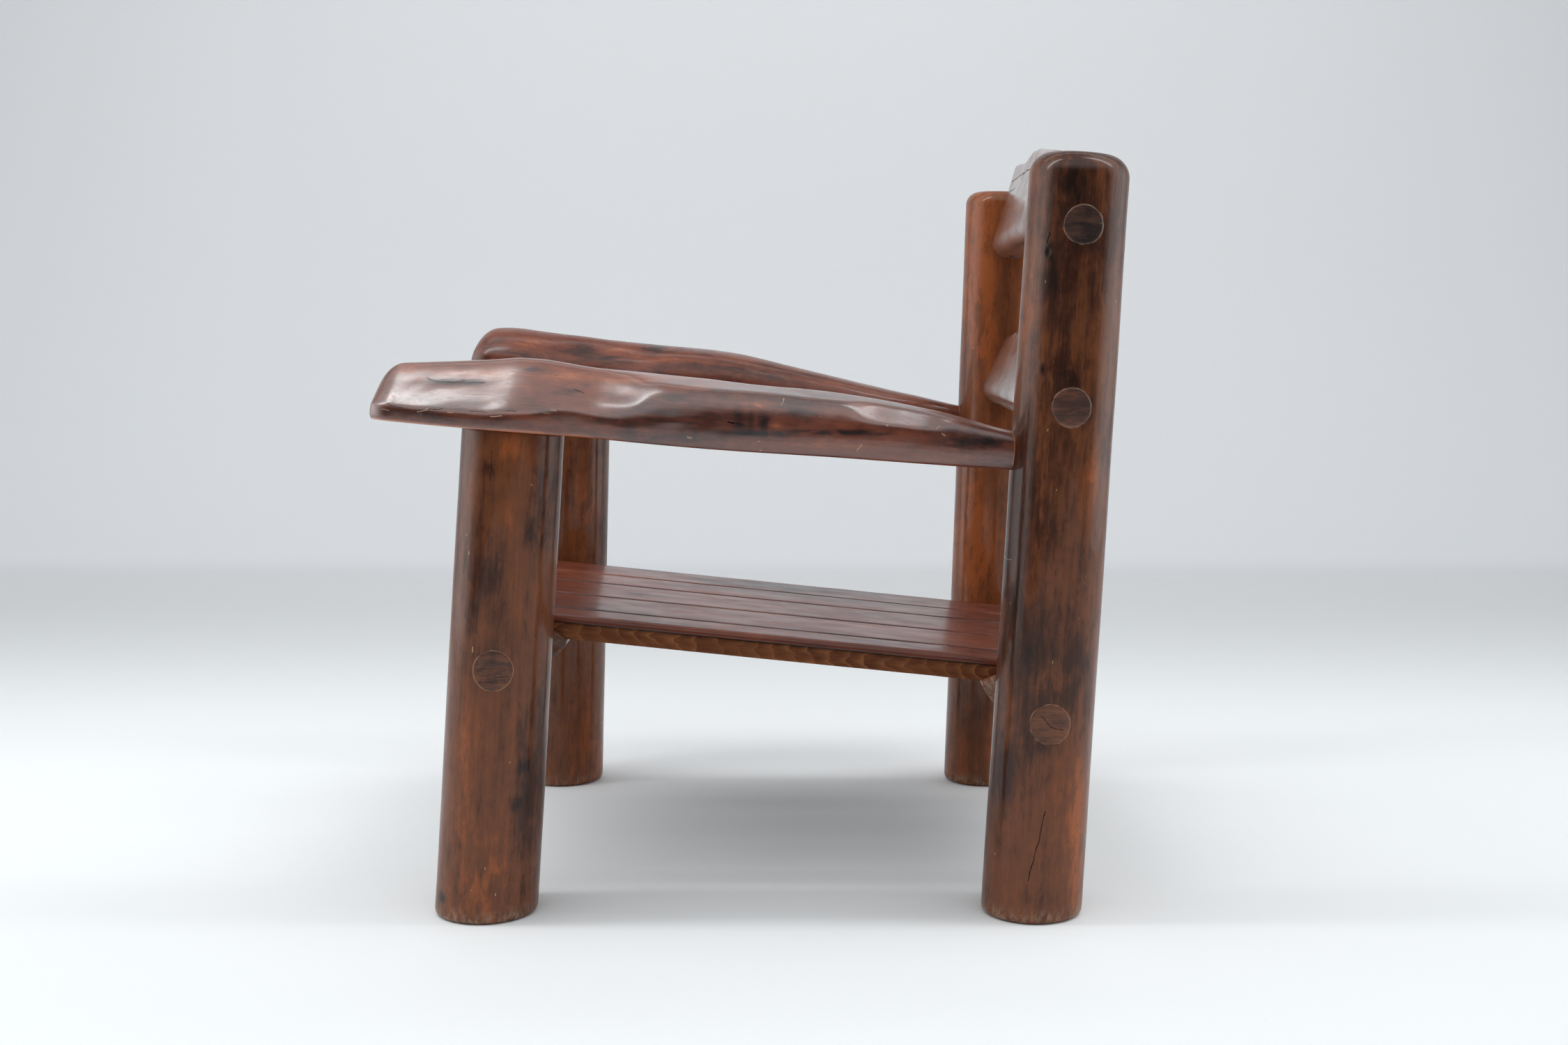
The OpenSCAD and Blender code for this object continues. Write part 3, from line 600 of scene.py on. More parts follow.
def board(xs, ss, ns, round_top, round_low, end_round, seed, rows=190, count=110, outer=None):
    """Long board with eased edges in the seat frame: rows run along s."""
    (x0, x1), (s0, s1), (n0, n1) = xs, ss, ns
    ease = np.array([0, 0, 0.1, 0.35, 0.7])
    middle = np.linspace(s0 + end_round, s1 - end_round, rows)
    s = np.concatenate([s0 + end_round * ease, middle, s1 - end_round * ease[::-1]])
    corners = [np.array(c) for c in ((x0, n0), (x1, n0), (x1, n1), (x0, n1))]
    radii = (round_low, round_low, outer or round_top, round_top)
    ring = np.vstack([rounded(corners[i], corners[i - 1], corners[(i + 1) % 4], radii[i], 5) for i in range(4)])
    ring = resample(ring, count)
    centre = np.array([(x0 + x1) / 2, (n0 + n1) / 2])
    half = np.array([(x1 - x0) / 2, (n1 - n0) / 2])
    pull = np.concatenate([[1, 0.3, 0.12, 0.04, 0.01], np.zeros(rows), [0.01, 0.04, 0.12, 0.3, 1]])[:, None, None]
    size = np.where(pull < 1, 1 - np.minimum(pull * end_round * 3, half * 0.8) / half, 0)
    flat = centre + (ring - centre) * size
    local = np.stack([flat[..., 0], s[:, None] * np.ones(count), flat[..., 1]], -1)
    edge = smooth(half[0] - 0.010, half[0], np.abs(local[..., 0] - centre[0]))
    push = 0.00009 * waves(local * [1, 0.2, 1], 0.05, seed)
    push += 0.00015 * edge * waves(local * [1, 0.4, 1], 0.03, seed + 1)
    return local + outward(local) * push[..., None]


def in_seat(local):
    origin, down, out, _, _ = seat_frame()
    return in_axes(local, origin, X_AXIS, down, out)


# Dark and pale spots on the boards: X, Y, their sizes and amount
BOARD_MARKS = {
    4: [
        (0.206, -0.105, 0.006, 0.020, -0.9), (0.208, -0.078, 0.005, 0.010, -1.2), (0.204, -0.055, 0.006, 0.006, -0.8),
        (0.205, -0.022, 0.004, 0.004, -0.9), (0.200, 0.020, 0.012, 0.060, 0.2),
    ],
    2: [(0.010, -0.155, 0.004, 0.012, -1.0), (0.030, 0.10, 0.020, 0.10, 0.25)],
    1: [(-0.095, -0.10, 0.012, 0.05, -0.4)],
    0: [(-0.175, 0.02, 0.02, 0.12, -0.35)],
}


def make_seat(board_mat, batten_mat, nail_mat):
    origin, down, _, run, _ = seat_frame()
    width = sum(SLAT_W) + 4 * SLAT_GAP
    starts = [-width / 2 + sum(SLAT_W[:i]) + i * SLAT_GAP for i in range(5)]
    top = FRONT_CROWN + 0.0001 + SLAT_T
    for i, (x0, w) in enumerate(zip(starts, SLAT_W)):
        last = i == 4
        local = board((x0, x0 + w), (-SLAT_FRONT, run + SLAT_REAR), (top - SLAT_T, top), 0.0028, 0.0008, 0.003, 90 + i,
                      outer=0.0068 if last else None)
        pts = in_seat(local)
        # Painted shade: each board's sides below its top are painted much darker, for the shade in the seams between
        # boards; on the outer board the dark begins below its rounded edge, for the shade under that edge
        face = smooth(top - 0.0020, top - 0.0010, local[..., 2])
        if last:
            face = np.where(local[..., 0] > x0 + w / 2, smooth(top - 0.0088, top - 0.0076, local[..., 2]), face)
        tone = -4.0 * (1 - face)
        for x, y, size_x, size_y, amount in BOARD_MARKS.get(i, []):
            tone = tone + amount * bump(pts[..., :2], (x, y), (size_x, size_y))
        solid = Solid()
        solid.skin(pts, local[..., [0, 2, 1]] + 0.9 * i, tone)
        solid.object(f"seat_slat_{i + 1}_board", board_mat, "board_wood", f"seat_slat_{i + 1}")
    for side, name in ((1, "left_seat_batten"), (-1, "right_seat_batten")):
        xs = sorted(side * (width / 2 - BATTEN_INSET - w) for w in (0, BATTEN_W))
        local = board(xs, (0.024, run - 0.024), (FRONT_CROWN - BATTEN_H, FRONT_CROWN), 0.0006, 0.0016, 0.002,
                      120 + side, 170, 60)
        solid = Solid()
        solid.skin(in_seat(local), local[..., [0, 2, 1]] + [2.3 * side, 0, 0])
        solid.object(name + "_strip", batten_mat, "batten_wood", name)
    solid = Solid()
    phi = turn(20)
    # Radius of a nail and height over the boards
    profile = [(0, 0.0001), (0.0014, 0.0001), (0.0024, -0.00002), (0.00305, -0.00025), (0.00325, -0.0008),
               (0.0030, -0.0019), (0.0015, -0.0020), (0.0015, -0.0345), (0, -0.036)]
    for front in (True, False):
        middle, ex = rail_line(front)[:2]
        for x in (x0 + share * w for x0, w in zip(starts, SLAT_W) for share in (0.25, 0.75)):
            s = float((middle + ex * x / ex[0] - origin) @ down)
            rows = np.array([
                np.stack([x + r * np.cos(phi), s + r * np.sin(phi), np.full(len(phi), top + h)], -1) for r, h in profile
            ])
            solid.skin(in_seat(rows), rows)
    solid.object("slat_nails_iron", nail_mat, "nail_iron", "slat_nails")


# ---- materials
class Nodes:
    """Short way to write the node tree of a material or of the world."""

    def __init__(self, owner):
        owner.use_nodes = True
        self.owner, self.tree = owner, owner.node_tree
        self.tree.nodes.clear()

    def add(self, kind, inputs=(), **settings):
        n = self.tree.nodes.new("ShaderNode" + kind)
        for key, value in settings.items():
            setattr(n, key, value)
        for key, value in dict(inputs).items():
            if isinstance(value, bpy.types.NodeSocket):
                self.tree.links.new(value, n.inputs[key])
            else:
                n.inputs[key].default_value = value
        return n

    def attribute(self, name, out="Fac"):
        return self.add("Attribute", attribute_name=name).outputs[out]

    def math(self, operation, a, b=0.0, c=0.0):
        return self.add("Math", {0: a, 1: b, 2: c}, operation=operation).outputs[0]

    def times(self, a, b, plus=0.0):
        return self.math("MULTIPLY_ADD", a, b, plus)

    def vector(self, operation, a, b=(0, 0, 0), out="Vector"):
        return self.add("VectorMath", {0: a, 1: b}, operation=operation).outputs[out]

    def noise(self, vector, scale, detail=2.0, roughness=0.5, distortion=0.0):
        v = self.vector("MULTIPLY", vector, scale)
        return self.add("TexNoise", {"Vector": v, "Scale": 1.0, "Detail": detail, "Roughness": roughness,
                                     "Distortion": distortion}).outputs["Fac"]

    def ramp(self, value, lo, hi, to_lo=0.0, to_hi=1.0, kind="SMOOTHSTEP"):
        ends = {0: value, 1: lo, 2: hi, 3: to_lo, 4: to_hi}
        return self.add("MapRange", ends, interpolation_type=kind).outputs["Result"]

    def mix(self, factor, a, b):
        return self.add("Mix", {0: factor, 6: a, 7: b}, data_type="RGBA").outputs[2]

    def from_line(self, point, direction):
        """Distance of the shaded point from a line in the row frame."""
        p = self.add("TexCoord").outputs["Object"]
        d = self.vector("SUBTRACT", p, tuple(point))
        return self.vector("LENGTH", self.vector("CROSS_PRODUCT", d, tuple(direction)), out="Value")

    def from_path(self, points, plane):
        """Distance of the shaded point from a broken line, seen along the axis whose share in plane is 0."""
        p = self.add("TexCoord").outputs["Object"]
        shake = self.add("TexNoise", {"Vector": p, "Scale": 90.0, "Detail": 3.0}).outputs["Color"]
        shake = self.vector("MULTIPLY", self.vector("SUBTRACT", shake, (0.5,) * 3), (0.005,) * 3)
        p = self.vector("MULTIPLY", self.vector("ADD", p, shake), plane)
        near = 1.0
        for a, b in zip(points, points[1:]):
            ab = b - a
            away = self.vector("SUBTRACT", p, tuple(a))
            share = self.math("MAXIMUM", self.vector("DOT_PRODUCT", away, tuple(ab / (ab @ ab)), out="Value"), 0.0)
            share = self.math("MINIMUM", share, 1.0)
            foot = self.add("VectorMath", {0: tuple(ab), 3: share}, operation="SCALE").outputs["Vector"]
            away = self.vector("LENGTH", self.vector("SUBTRACT", away, foot), out="Value")
            near = self.math("MINIMUM", away, near)
        return near

    def bumps(self, height, strength, distance=0.0006):
        inputs = {"Strength": strength, "Distance": distance, "Height": height}
        return self.add("Bump", inputs).outputs["Normal"]

    def shade(self, **inputs):
        s = self.add("BsdfPrincipled", {k.replace("_", " "): v for k, v in inputs.items()})
        self.add("OutputMaterial", {"Surface": s.outputs[0]})
        return self.owner


def rgb(r, g, b):
    """Linear colour from screen values 0 to 255."""
    return tuple(((c / 255 + 0.055) / 1.055) ** 2.4 if c > 10 else c / 3294.6 for c in (r, g, b)) + (1.0,)


def wood(name, stain, shift=0.0, streaks=1.0, rough=(0.35, 0.5), coat=0.7, gloss=(0.08, 0.16), arcs=None, lines=(),
         paths=(), specular=0.25, film_index=1.5):
    """Stained and varnished wood: broad amber and dark zones, streaks, fibres, pores, wear, nicks and drawn lines."""
    deep, dark, body, amber = stain
    n = Nodes(bpy.data.materials.new(name))
    g = n.attribute("grain", "Vector")
    big = n.noise(g, (6, 6, 2.2), 2, 0.5, 0.4)
    zone = n.noise(g, (24, 24, 6), 4, 0.6, 0.6)
    mottle = n.noise(g, (75, 75, 40), 4, 0.65, 0.3)
    streak = n.noise(g, (120, 120, 7), 4, 0.6, 0.2)
    fine = n.noise(g, (480, 480, 26), 3, 0.65)
    pore = n.noise(g, (1300, 1300, 75), 2, 0.5)
    weights = ((big, 0.8), (zone, 0.5), (mottle, 0.5), (streak, 0.45 * streaks), (fine, 0.3))
    shade = shift - sum(w for _, w in weights) / 2
    for part, weight in weights:
        shade = n.times(part, weight, shade)
    patchy = n.ramp(n.noise(g, (60, 60, 24), 5, 0.7, 0.5), 0.38, 0.60, 0.15, 0.55)
    shade = n.times(n.attribute("tone"), patchy, shade)
    colour = n.mix(n.ramp(shade, -0.50, -0.15), deep, dark)
    colour = n.mix(n.ramp(shade, -0.24, 0.10), colour, body)
    colour = n.mix(n.ramp(shade, 0.05, 0.50), colour, amber)
    pores = n.ramp(pore, 0.60, 0.72)
    colour = n.mix(n.times(pores, 0.4), colour, deep)
    height = n.times(fine, 0.30, n.times(streak, 0.25))
    height = n.times(pores, -0.30, height)
    if arcs:
        strength, pitch, middle, bend = arcs
        xyz = n.add("SeparateXYZ", {0: g}).outputs
        rise = n.math("SUBTRACT", xyz[1], middle)
        wave = n.times(n.noise(g, (30, 30, 9), 3, 0.55), 3.6, n.math("DIVIDE", xyz[2], pitch))
        wave = n.math("FRACT", n.times(n.times(rise, rise), -bend, wave))
        patches = n.ramp(n.noise(g, (30, 30, 9), 2, 0.5), 0.32, 0.55, 0.25, 1.0)
        arc = n.times(n.math("POWER", wave, 3.0), patches)
        colour = n.mix(n.times(arc, strength), colour, amber)
        height = n.times(arc, 0.3, height)
    worn = n.times(n.attribute("wear"), n.ramp(n.noise(g, (150, 150, 60), 3, 0.7), 0.40, 0.62))
    colour = n.mix(worn, colour, WORN)
    nicks = n.ramp(n.noise(g, (240, 240, 110), 1, 0.3), 0.81, 0.84)
    colour = n.mix(n.times(nicks, 0.6), colour, NICKED)
    for point, direction, radius, ink, width, strength in lines:
        d = n.math("ABSOLUTE", n.math("SUBTRACT", n.from_line(point, direction), radius))
        broken = n.ramp(n.noise(g, (55, 55, 55), 2, 0.6), 0.38, 0.62)
        line = n.times(n.ramp(d, width, width * 0.3), n.times(broken, strength))
        colour = n.mix(line, colour, ink)
        height = n.times(line, -0.6, height)
    bare = 0.0
    for points, plane, ink, width, strength in paths:
        line = n.times(n.ramp(n.from_path(points, plane), width, width * 0.4), strength)
        colour = n.mix(line, colour, ink)
        height = n.times(line, -2.0, height)
        bare = n.math("MAXIMUM", bare, line)
    if paths:
        coat = n.times(bare, -coat, coat)
        specular = n.times(bare, -specular, specular)
    film = n.noise(g, (34, 34, 16), 3, 0.6)
    roughness = n.times(worn, 0.25, n.ramp(film, 0.3, 0.7, rough[0], rough[1]))
    skin = n.times(worn, 0.3, n.ramp(film, 0.3, 0.7, gloss[0], gloss[1]))
    return n.shade(Base_Color=colour, Roughness=roughness, Normal=n.bumps(height, 0.25), Coat_Weight=coat,
                   Coat_Roughness=skin, Coat_Normal=n.bumps(height, 0.10), Coat_IOR=film_index,
                   Specular_IOR_Level=specular)


def iron(name):
    n = Nodes(bpy.data.materials.new(name))
    p = n.add("TexCoord").outputs["Object"]
    spot = n.noise(p, (900, 900, 900), 3, 0.6)
    colour = n.mix(n.ramp(spot, 0.4, 0.6), rgb(38, 30, 27), rgb(70, 58, 50))
    rough = n.ramp(spot, 0.3, 0.7, 0.45, 0.75)
    return n.shade(Base_Color=colour, Roughness=rough, Metallic=0.8, Normal=n.bumps(spot, 0.4, 0.0003))


# Stains from the deepest to the lightest tone
POST_STAIN = rgb(34, 19, 13), rgb(62, 33, 21), rgb(108, 62, 37), rgb(152, 82, 42)
ARM_STAIN = rgb(28, 13, 10), rgb(68, 32, 22), rgb(116, 60, 41), rgb(166, 94, 58)
BACK_STAIN = rgb(32, 17, 13), rgb(72, 45, 35), rgb(110, 68, 50), rgb(146, 92, 60)
BOARD_STAIN = rgb(30, 13, 10), rgb(64, 29, 20), rgb(102, 50, 34), rgb(134, 70, 44)
BATTEN_STAIN = rgb(48, 27, 18), rgb(84, 47, 30), rgb(116, 69, 43), rgb(176, 116, 76)
WORN = rgb(150, 124, 104)
NICKED = rgb(196, 160, 126)
TENON_GLUE = rgb(206, 152, 112)
ARM_GLUE = rgb(176, 112, 72)
INK = rgb(16, 9, 7)
PALE = rgb(200, 170, 142)
# Shares of the axes that a drawn line keeps
SIDE_ON = (0.0, 1.0, 1.0)
FRONT_ON = (1.0, 0.0, 1.0)
FROM_ABOVE = (1.0, 1.0, 0.0)


def strokes(plane, *rows):
    """Drawn lines, each a colour, a width, a strength and its points in the two axes that plane keeps."""
    paths = []
    for ink, width, strength, *flat in rows:
        points = np.zeros((len(flat), 3))
        points[:, np.array(plane) > 0] = flat
        paths.append((points, plane, ink, width, strength))
    return paths


PATHS = {
    "rear_left_post": strokes(
        SIDE_ON, (INK, 0.0007, 0.9, (0.319, 0.123), (0.31, 0.085), (0.3, 0.048)),
        (INK, 0.0008, 0.8, (0.326, 0.745), (0.322, 0.732)), (PALE, 0.0005, 0.5, (0.286, 0.389), (0.268, 0.39)),
    ),
    "front_left_post": strokes(
        SIDE_ON, (PALE, 0.0006, 0.8, (-0.297, 0.299), (-0.2965, 0.293)),
        (INK, 0.0005, 0.6, (-0.276, 0.51), (-0.277, 0.478)),
    ),
    "left_arm": strokes(
        SIDE_ON, (INK, 0.0007, 0.7, (-0.3893, 0.561), (-0.3796, 0.558), (-0.3728, 0.5558)),
        (PALE, 0.0006, 0.6, (-0.396, 0.5543), (-0.387, 0.5535)),
        (PALE, 0.0006, 0.6, (-0.3541, 0.552), (-0.3467, 0.5535), (-0.3422, 0.5558)),
        (INK, 0.0007, 0.7, (-0.3422, 0.5543), (-0.3272, 0.555)),
        (PALE, 0.0006, 0.7, (-0.3205, 0.552), (-0.316, 0.5513)),
        (INK, 0.0007, 0.6, (-0.2973, 0.5535), (-0.2794, 0.5513)),
        (PALE, 0.0006, 0.9, (-0.2749, 0.5475), (-0.2629, 0.5475)),
        (INK, 0.0007, 0.6, (-0.2577, 0.5528), (-0.248, 0.5528)),
        (PALE, 0.0007, 0.7, (-0.2106, 0.5535), (-0.2061, 0.5528)),
        (PALE, 0.0005, 0.5, (-0.2195, 0.5513), (-0.2121, 0.5505)),
        (INK, 0.0013, 0.95, (-0.0221, 0.5415), (-0.0154, 0.54)),
        (PALE, 0.0006, 0.7, (0.0354, 0.5595), (0.0377, 0.5655)),
        (PALE, 0.0012, 0.5, (0.1169, 0.5101), (0.1229, 0.5154)),
        (PALE, 0.0008, 0.5, (0.179, 0.5371), (0.1827, 0.5408)),
        (PALE, 0.0008, 0.6, (0.2037, 0.5326), (0.2074, 0.5356)),
        (PALE, 0.0009, 0.6, (0.2096, 0.5273), (0.2119, 0.5251)),
        (PALE, 0.0016, 0.5, (-0.064, 0.5251), (-0.0603, 0.5243)),
        (INK, 0.0006, 0.6, (-0.1896, 0.5744), (-0.1784, 0.5715)),
        (INK, 0.0007, 0.5, (-0.3519, 0.5864), (-0.3302, 0.5834), (-0.3093, 0.5849)),
        (INK, 0.0007, 0.5, (-0.3242, 0.5834), (-0.2868, 0.5819)),
    ),
    "upper_back_rail": strokes(
        FRONT_ON, (INK, 0.0011, 0.95, (-0.24, 0.847), (-0.15, 0.8475), (-0.02, 0.846)),
        (INK, 0.0012, 0.9, (-0.095, 0.847), (-0.088, 0.831)), (INK, 0.0011, 0.9, (-0.24, 0.832), (-0.157, 0.832)),
    ),
    "seat_rails": strokes(
        SIDE_ON, (INK, 0.0006, 0.8, (0.313, 0.225), (0.326, 0.213), (0.338, 0.21)),
        (INK, 0.0005, 0.6, (-0.289, 0.268), (-0.258, 0.268)), (INK, 0.0005, 0.5, (-0.29, 0.261), (-0.259, 0.261)),
        (INK, 0.0004, 0.5, (-0.287, 0.276), (-0.261, 0.277)),
    ),
    "boards": strokes(
        FROM_ABOVE, (PALE, 0.0016, 0.8, (0.1665, 0.211), (0.166, 0.225), (0.1668, 0.24)),
        (INK, 0.0012, 0.8, (0.004, -0.166), (0.012, -0.152), (0.008, -0.139)),
        (INK, 0.001, 0.8, (0.012, -0.152), (0.021, -0.147)),
    ),
}


def tenon_lines(rails):
    """Thin glue lines round the tenon ends of a post."""
    lines = []
    for point, direction in rails:
        lines.append((point, direction, TENON_R + 0.0002, TENON_GLUE, 0.0005, 0.9))
        lines.append((point, direction, TENON_R - 0.0003, INK, 0.0007, 0.7))
    return lines


# Spots on a piece by kind: Y, Z, their sizes and amount
FEATURES = {
    "front_left_post": {"tone": [
        (-0.226, 0.451, 0.015, 0.06, -0.5), (-0.276, 0.491, 0.011, 0.009, -0.45),
        (-0.231, 0.424, 0.013, 0.016, -0.55), (-0.279, 0.378, 0.012, 0.019, -0.4), (-0.298, 0.478, 0.01, 0.045, 0.5),
        (-0.264, 0.515, 0.022, 0.016, 0.45), (-0.306, 0.164, 0.013, 0.09, 0.5), (-0.279, 0.037, 0.03, 0.037, 0.45),
        (-0.238, 0.134, 0.013, 0.097, -0.4), (-0.332, 0.024, 0.004, 0.006, -1.2),
        (-0.274, 0.272, 0.025, 0.025, -0.25), (-0.249, 0.321, 0.022, 0.022, -0.15),
        (-0.287, 0.321, 0.01, 0.022, 0.25),
    ], "knot": [
        (-0.244, 0.168, 0.005, 0.006, 1.0), (-0.252, 0.13, 0.005, 0.007, 0.9),
    ]},
    "rear_left_post": {"tone": [
        (0.346, 0.796, 0.015, 0.024, -0.9), (0.359, 0.755, 0.025, 0.025, -0.45), (0.326, 0.702, 0.012, 0.037, -0.75),
        (0.309, 0.702, 0.009, 0.052, 0.6), (0.301, 0.642, 0.01, 0.041, 0.4), (0.304, 0.814, 0.009, 0.021, 0.35),
        (0.376, 0.782, 0.01, 0.037, 0.3), (0.346, 0.589, 0.02, 0.02, -0.7), (0.376, 0.628, 0.015, 0.049, 0.3),
        (0.37, 0.478, 0.013, 0.045, 0.6), (0.306, 0.478, 0.019, 0.049, -0.3), (0.319, 0.421, 0.016, 0.03, -0.5),
        (0.289, 0.366, 0.011, 0.067, -0.45), (0.329, 0.367, 0.015, 0.045, 0.35), (0.297, 0.291, 0.019, 0.022, -0.4),
        (0.323, 0.265, 0.026, 0.022, 0.4), (0.313, 0.197, 0.019, 0.016, -0.4), (0.354, 0.127, 0.01, 0.097, 0.6),
        (0.346, 0.254, 0.009, 0.045, -0.4), (0.281, 0.21, 0.012, 0.045, 0.3), (0.281, 0.156, 0.019, 0.03, -0.35),
        (0.286, 0.07, 0.021, 0.037, -0.35), (0.33, 0.134, 0.012, 0.045, 0.2), (0.319, 0.029, 0.045, 0.012, -0.3),
    ], "knot": [
        (0.324, 0.724, 0.004, 0.007, 1.0), (0.319, 0.598, 0.004, 0.005, 0.8),
    ]},
    "front_right_post": {"tone": [
        (-0.253, 0.385, 0.016, 0.088, 0.6), (-0.226, 0.361, 0.007, 0.107, -0.4), (-0.262, 0.123, 0.021, 0.068, 0.15),
        (-0.271, 0.029, 0.039, 0.029, -0.15),
    ]},
    "rear_right_post": {"tone": [
        (0.303, 0.693, 0.021, 0.107, 1.1), (0.334, 0.683, 0.014, 0.059, -0.3), (0.295, 0.339, 0.021, 0.078, 1.1),
        (0.33, 0.396, 0.01, 0.029, -0.4), (0.287, 0.107, 0.039, 0.068, -0.6), (0.314, 0.81, 0.029, 0.016, 0.4),
    ]},
    "left_arm": {"tone": [
        (-0.333, 0.585, 0.0224, 0.0037, -1.4), (-0.308, 0.583, 0.0224, 0.003, -1.2),
        (-0.375, 0.598, 0.012, 0.0045, 0.9), (-0.279, 0.604, 0.0449, 0.0045, -0.3),
        (-0.196, 0.574, 0.015, 0.0037, -1.2), (-0.233, 0.596, 0.015, 0.003, -1.3),
        (-0.201, 0.589, 0.0224, 0.0037, 0.8), (-0.13, 0.586, 0.0449, 0.0037, 0.7),
        (-0.063, 0.578, 0.0299, 0.0045, 0.7), (-0.178, 0.58, 0.006, 0.003, -0.8),
        (-0.077, 0.567, 0.0105, 0.003, -0.8), (-0.126, 0.533, 0.009, 0.0075, -0.8),
        (0.008, 0.558, 0.0135, 0.0052, 1.6), (-0.009, 0.545, 0.006, 0.0105, -1.6), (0.003, 0.548, 0.003, 0.012, -1.6),
        (0.017, 0.542, 0.006, 0.0105, -1.4), (0.029, 0.536, 0.0105, 0.0052, 1.0), (0.046, 0.551, 0.0224, 0.012, -0.6),
        (-0.04, 0.545, 0.0224, 0.009, -0.5), (0.13, 0.556, 0.0224, 0.0045, 0.4), (0.08, 0.564, 0.0449, 0.006, -0.3),
        # Painted shade and light: the next thin dark spots paint the shade in the crease above the arm's lower face and
        # in the band under the nose, and the pale spot at 0.517 paints light on the lower face under the crease
        (0.02, 0.517, 0.0897, 0.006, 0.35), (0.02, 0.529, 0.0673, 0.003, -1.2), (0.109, 0.529, 0.0598, 0.003, -1.2),
        (0.244, 0.518, 0.0374, 0.0052, -1.3), (-0.085, 0.524, 0.0374, 0.0037, -0.8),
        (-0.354, 0.55, 0.0449, 0.0037, -0.4),
    ], "push": [
        (-0.324, 0.586, 0.0336, 0.0052, -0.6), (-0.132, 0.5715, 0.028, 0.014, -3.0),
        (-0.083, 0.544, 0.0224, 0.0067, 1.0),
    ]},
    "right_arm": {"tone": [
        (-0.33, 0.622, 0.0293, 0.0078, 0.9), (-0.217, 0.612, 0.0234, 0.0088, 0.9),
        (-0.257, 0.612, 0.0176, 0.0059, -1.3), (-0.222, 0.601, 0.0098, 0.0029, -1.4),
        (-0.159, 0.613, 0.0176, 0.0068, -1.3), (-0.134, 0.6, 0.0293, 0.0059, 0.7),
        (-0.183, 0.603, 0.0195, 0.0039, 0.7), (-0.076, 0.587, 0.0488, 0.0049, -0.4),
        (-0.047, 0.6, 0.039, 0.0049, 0.5), (0.051, 0.556, 0.0586, 0.0098, 0.3),
    ], "push": [
        (-0.193, 0.587, 0.0586, 0.0078, -1.2),
    ]},
}

for post, p in POSTS.items():
    rails = [rail_line(p["front"])[:2]]
    if not p["front"]:
        rails += [back_rail_frame(rail)[:2] for rail in BACK_RAILS.values()]
    make_post(post, wood(post + "_wood", POST_STAIN, p["shift"], streaks=1.1, rough=(0.42, 0.58), coat=0.5,
                         gloss=(0.07, 0.15), specular=0.08, lines=tenon_lines(rails), paths=PATHS.get(post, ())),
              FEATURES[post])
for arm, a in ARMS.items():
    foot, up, _ = post_axis(a["rear"])
    glue = [(foot, up, REAR_R + 0.0011, ARM_GLUE, 0.0008, 0.8)]
    make_arm(arm, wood(arm + "_wood", ARM_STAIN, rough=(0.3, 0.42), lines=glue, paths=PATHS.get(arm, ()), **a["film"]),
             FEATURES[arm])
for rail in BACK_RAILS:
    make_back_rail(rail, wood(rail + "_wood", BACK_STAIN, rough=(0.40, 0.55), coat=1.0, gloss=(0.14, 0.22),
                              paths=PATHS.get(rail, ())))
seat_rail_wood = wood("seat_rail_wood", POST_STAIN, rough=(0.4, 0.6), coat=0.5, gloss=(0.2, 0.3),
                      paths=PATHS["seat_rails"])
make_seat_rail(True, seat_rail_wood)
make_seat_rail(False, seat_rail_wood)
make_seat(
    wood("board_wood", BOARD_STAIN, streaks=1.8, rough=(0.36, 0.5), coat=0.45, gloss=(0.14, 0.24),
         paths=PATHS["boards"]),
    wood("batten_wood", BATTEN_STAIN, rough=(0.6, 0.75), coat=0.0, specular=0.10, arcs=(0.6, 0.022, 0.0285, 4200.0)),
    iron("nail_iron"),
)

# ---- floor, light and camera
WALL_X, SWEEP_R = -1.94, 0.08
CEILING, SIDES = 1.52, 2.2  # brightness of the air above the chair and beside it
PHOTO_W = 2250  # pixels, as the camera's shifts are


def backdrop():
    """White floor, painted darker towards the wall as painted shade, that turns up into a pale grey wall behind the
    chair.
    """
    n = Nodes(bpy.data.materials.new("backdrop_paper"))
    p = n.add("TexCoord").outputs["Object"]
    xyz = n.add("SeparateXYZ", {0: p}).outputs
    dust = n.ramp(n.noise(p, (60, 60, 60), 3, 0.6), 0.70, 0.80)
    wall = n.ramp(xyz[2], 0.0, 0.12)
    # Painted shade: the floor is painted darker towards the wall, for the light that falls off there
    floor = n.mix(n.ramp(xyz[0], -1.7, 0.0), rgb(203, 205, 206), rgb(238, 241, 242))
    colour = n.mix(wall, floor, rgb(240, 242, 244))
    colour = n.mix(n.times(dust, 0.05), colour, rgb(120, 118, 116))
    line = [(x, 0.0) for x in (5.0, 3.0, 1.0, -0.5, -1.4, -1.82)]
    line += [(WALL_X + SWEEP_R * (1 - sin(a)), SWEEP_R * (1 - cos(a))) for a in np.linspace(0, 90, 7)[1:]]
    line += [(WALL_X, z) for z in (0.8, 1.8, 3.2)]
    rows = np.array([[(x, y, z) for y in np.linspace(-2.75, 2.75, 9)] for x, z in line])
    m, k = rows.shape[:2]
    corners = [i * k + j for i in range(m - 1) for j in range(k - 1)]
    faces = [(c, c + 1, c + k + 1, c + k) for c in corners]
    paper = n.shade(Base_Color=colour, Roughness=0.7, Specular_IOR_Level=0.2)
    mesh_object("studio_backdrop", rows.reshape(-1, 3), faces, paper)


def lamp(name, place, aim, size, power, shape="RECTANGLE"):
    """Softbox at a place, turned to its aim, with its long side across the view."""
    data = bpy.data.lights.new(name, "AREA")
    data.shape = shape
    data.size, data.size_y = size
    data.energy = power
    d = np.asarray(aim, float) - place
    d /= np.linalg.norm(d)
    side = np.cross(d, [1.0, 0, 0])
    side /= np.linalg.norm(side)
    m = np.eye(4)
    m[:3] = np.stack([np.cross(side, -d), side, -d, place], 1)
    placed(name, data).matrix_world = Matrix(m.tolist())


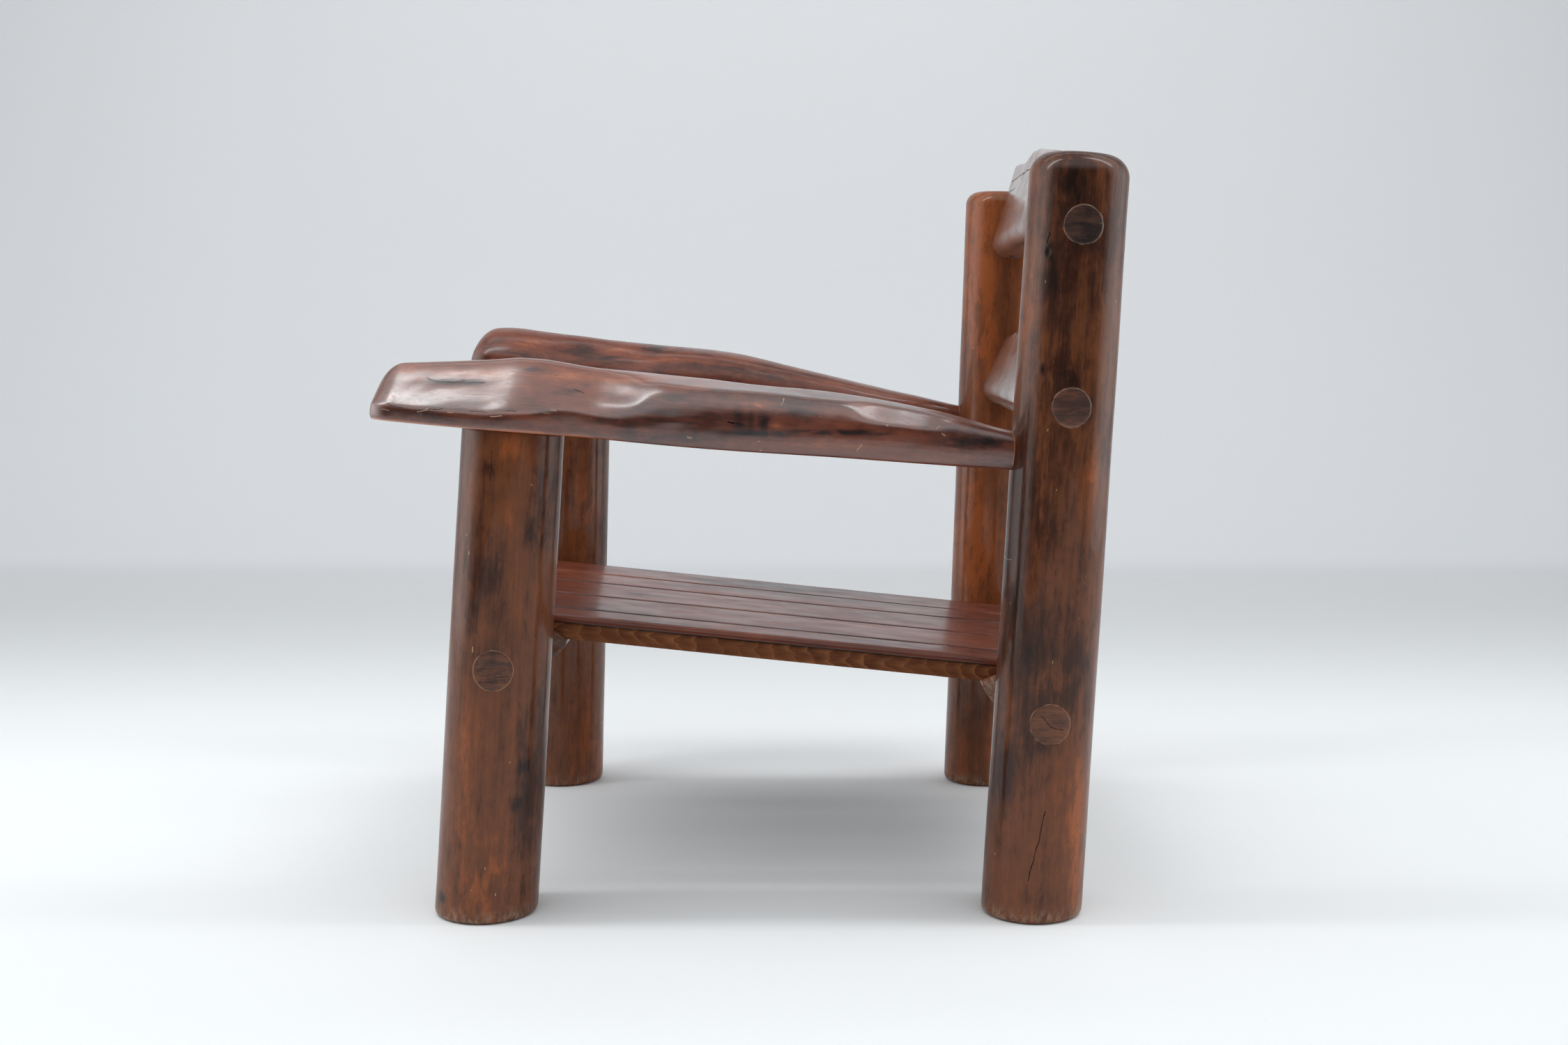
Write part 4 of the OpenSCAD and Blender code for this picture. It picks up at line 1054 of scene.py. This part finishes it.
def light_world():
    """Bright air above, most on the camera's side, and to both sides of the chair, but not on that side."""
    world = bpy.data.worlds.new("studio_air")
    bpy.context.scene.world = world
    n = Nodes(world)
    way = n.add("SeparateXYZ", {0: n.add("TexCoord").outputs["Generated"]}).outputs
    above = n.ramp(way[2], 0.35, 0.75, 0.06, CEILING)
    front = n.ramp(way[0], -0.5, 0.5, 0.15, 1.0, "LINEAR")
    aside = n.ramp(n.math("ABSOLUTE", way[1]), 0.65, 0.98, 0.0, SIDES, "LINEAR")
    behind = n.ramp(way[0], 0.05, 0.45, 1.0, 0.0, "LINEAR")
    level = n.times(aside, behind, n.times(above, front))
    air = n.add("Background", {"Strength": level, "Color": (0.96, 0.98, 1.0, 1)})
    n.add("OutputWorld", {0: air.outputs[0]})


backdrop()
light_world()
lamp("left_softbox", (0.39, -1.50, 2.35), (0.2, 0.0, 0.2), (0.30, 2.30), 4)
lamp("left_softbox_core", (0.39, -1.50, 2.34), (0.2, 0.0, 0.2), (0.28, 2.15), 11.5, "ELLIPSE")
lamp("left_softbox_spill", (-0.25, -1.30, 2.38), (0.0, 0.0, 0.2), (1.0, 1.6), 2)
lamp("right_softbox", (0.39, 1.40, 2.35), (0.2, 0.1, 0.2), (0.28, 1.70), 3)
lamp("right_softbox_core", (0.39, 1.40, 2.34), (0.2, 0.1, 0.2), (0.26, 1.60), 6, "ELLIPSE")
lamp("right_softbox_spill", (-0.25, 1.45, 2.38), (0.0, 0.1, 0.2), (1.0, 1.2), 3)
lamp("wall_softbox", (-0.95, 0.0, 2.9), (-1.9, 0.05, 0.7), (0.5, 3.6), 9)

camera = bpy.data.cameras.new("camera")
camera.sensor_width = 36.0
camera.lens = 42.05
camera.shift_x = -52 / PHOTO_W
camera.shift_y = -274 / PHOTO_W
camera.dof.use_dof = False
camera.clip_end = 50
cam = placed("camera", camera)
cam.location = (2.320, 0.0773, 0.638)
cam.rotation_euler = (math.pi / 2, 0, math.pi / 2)
bpy.context.scene.camera = cam
bpy.context.scene.view_settings.view_transform = "Standard"
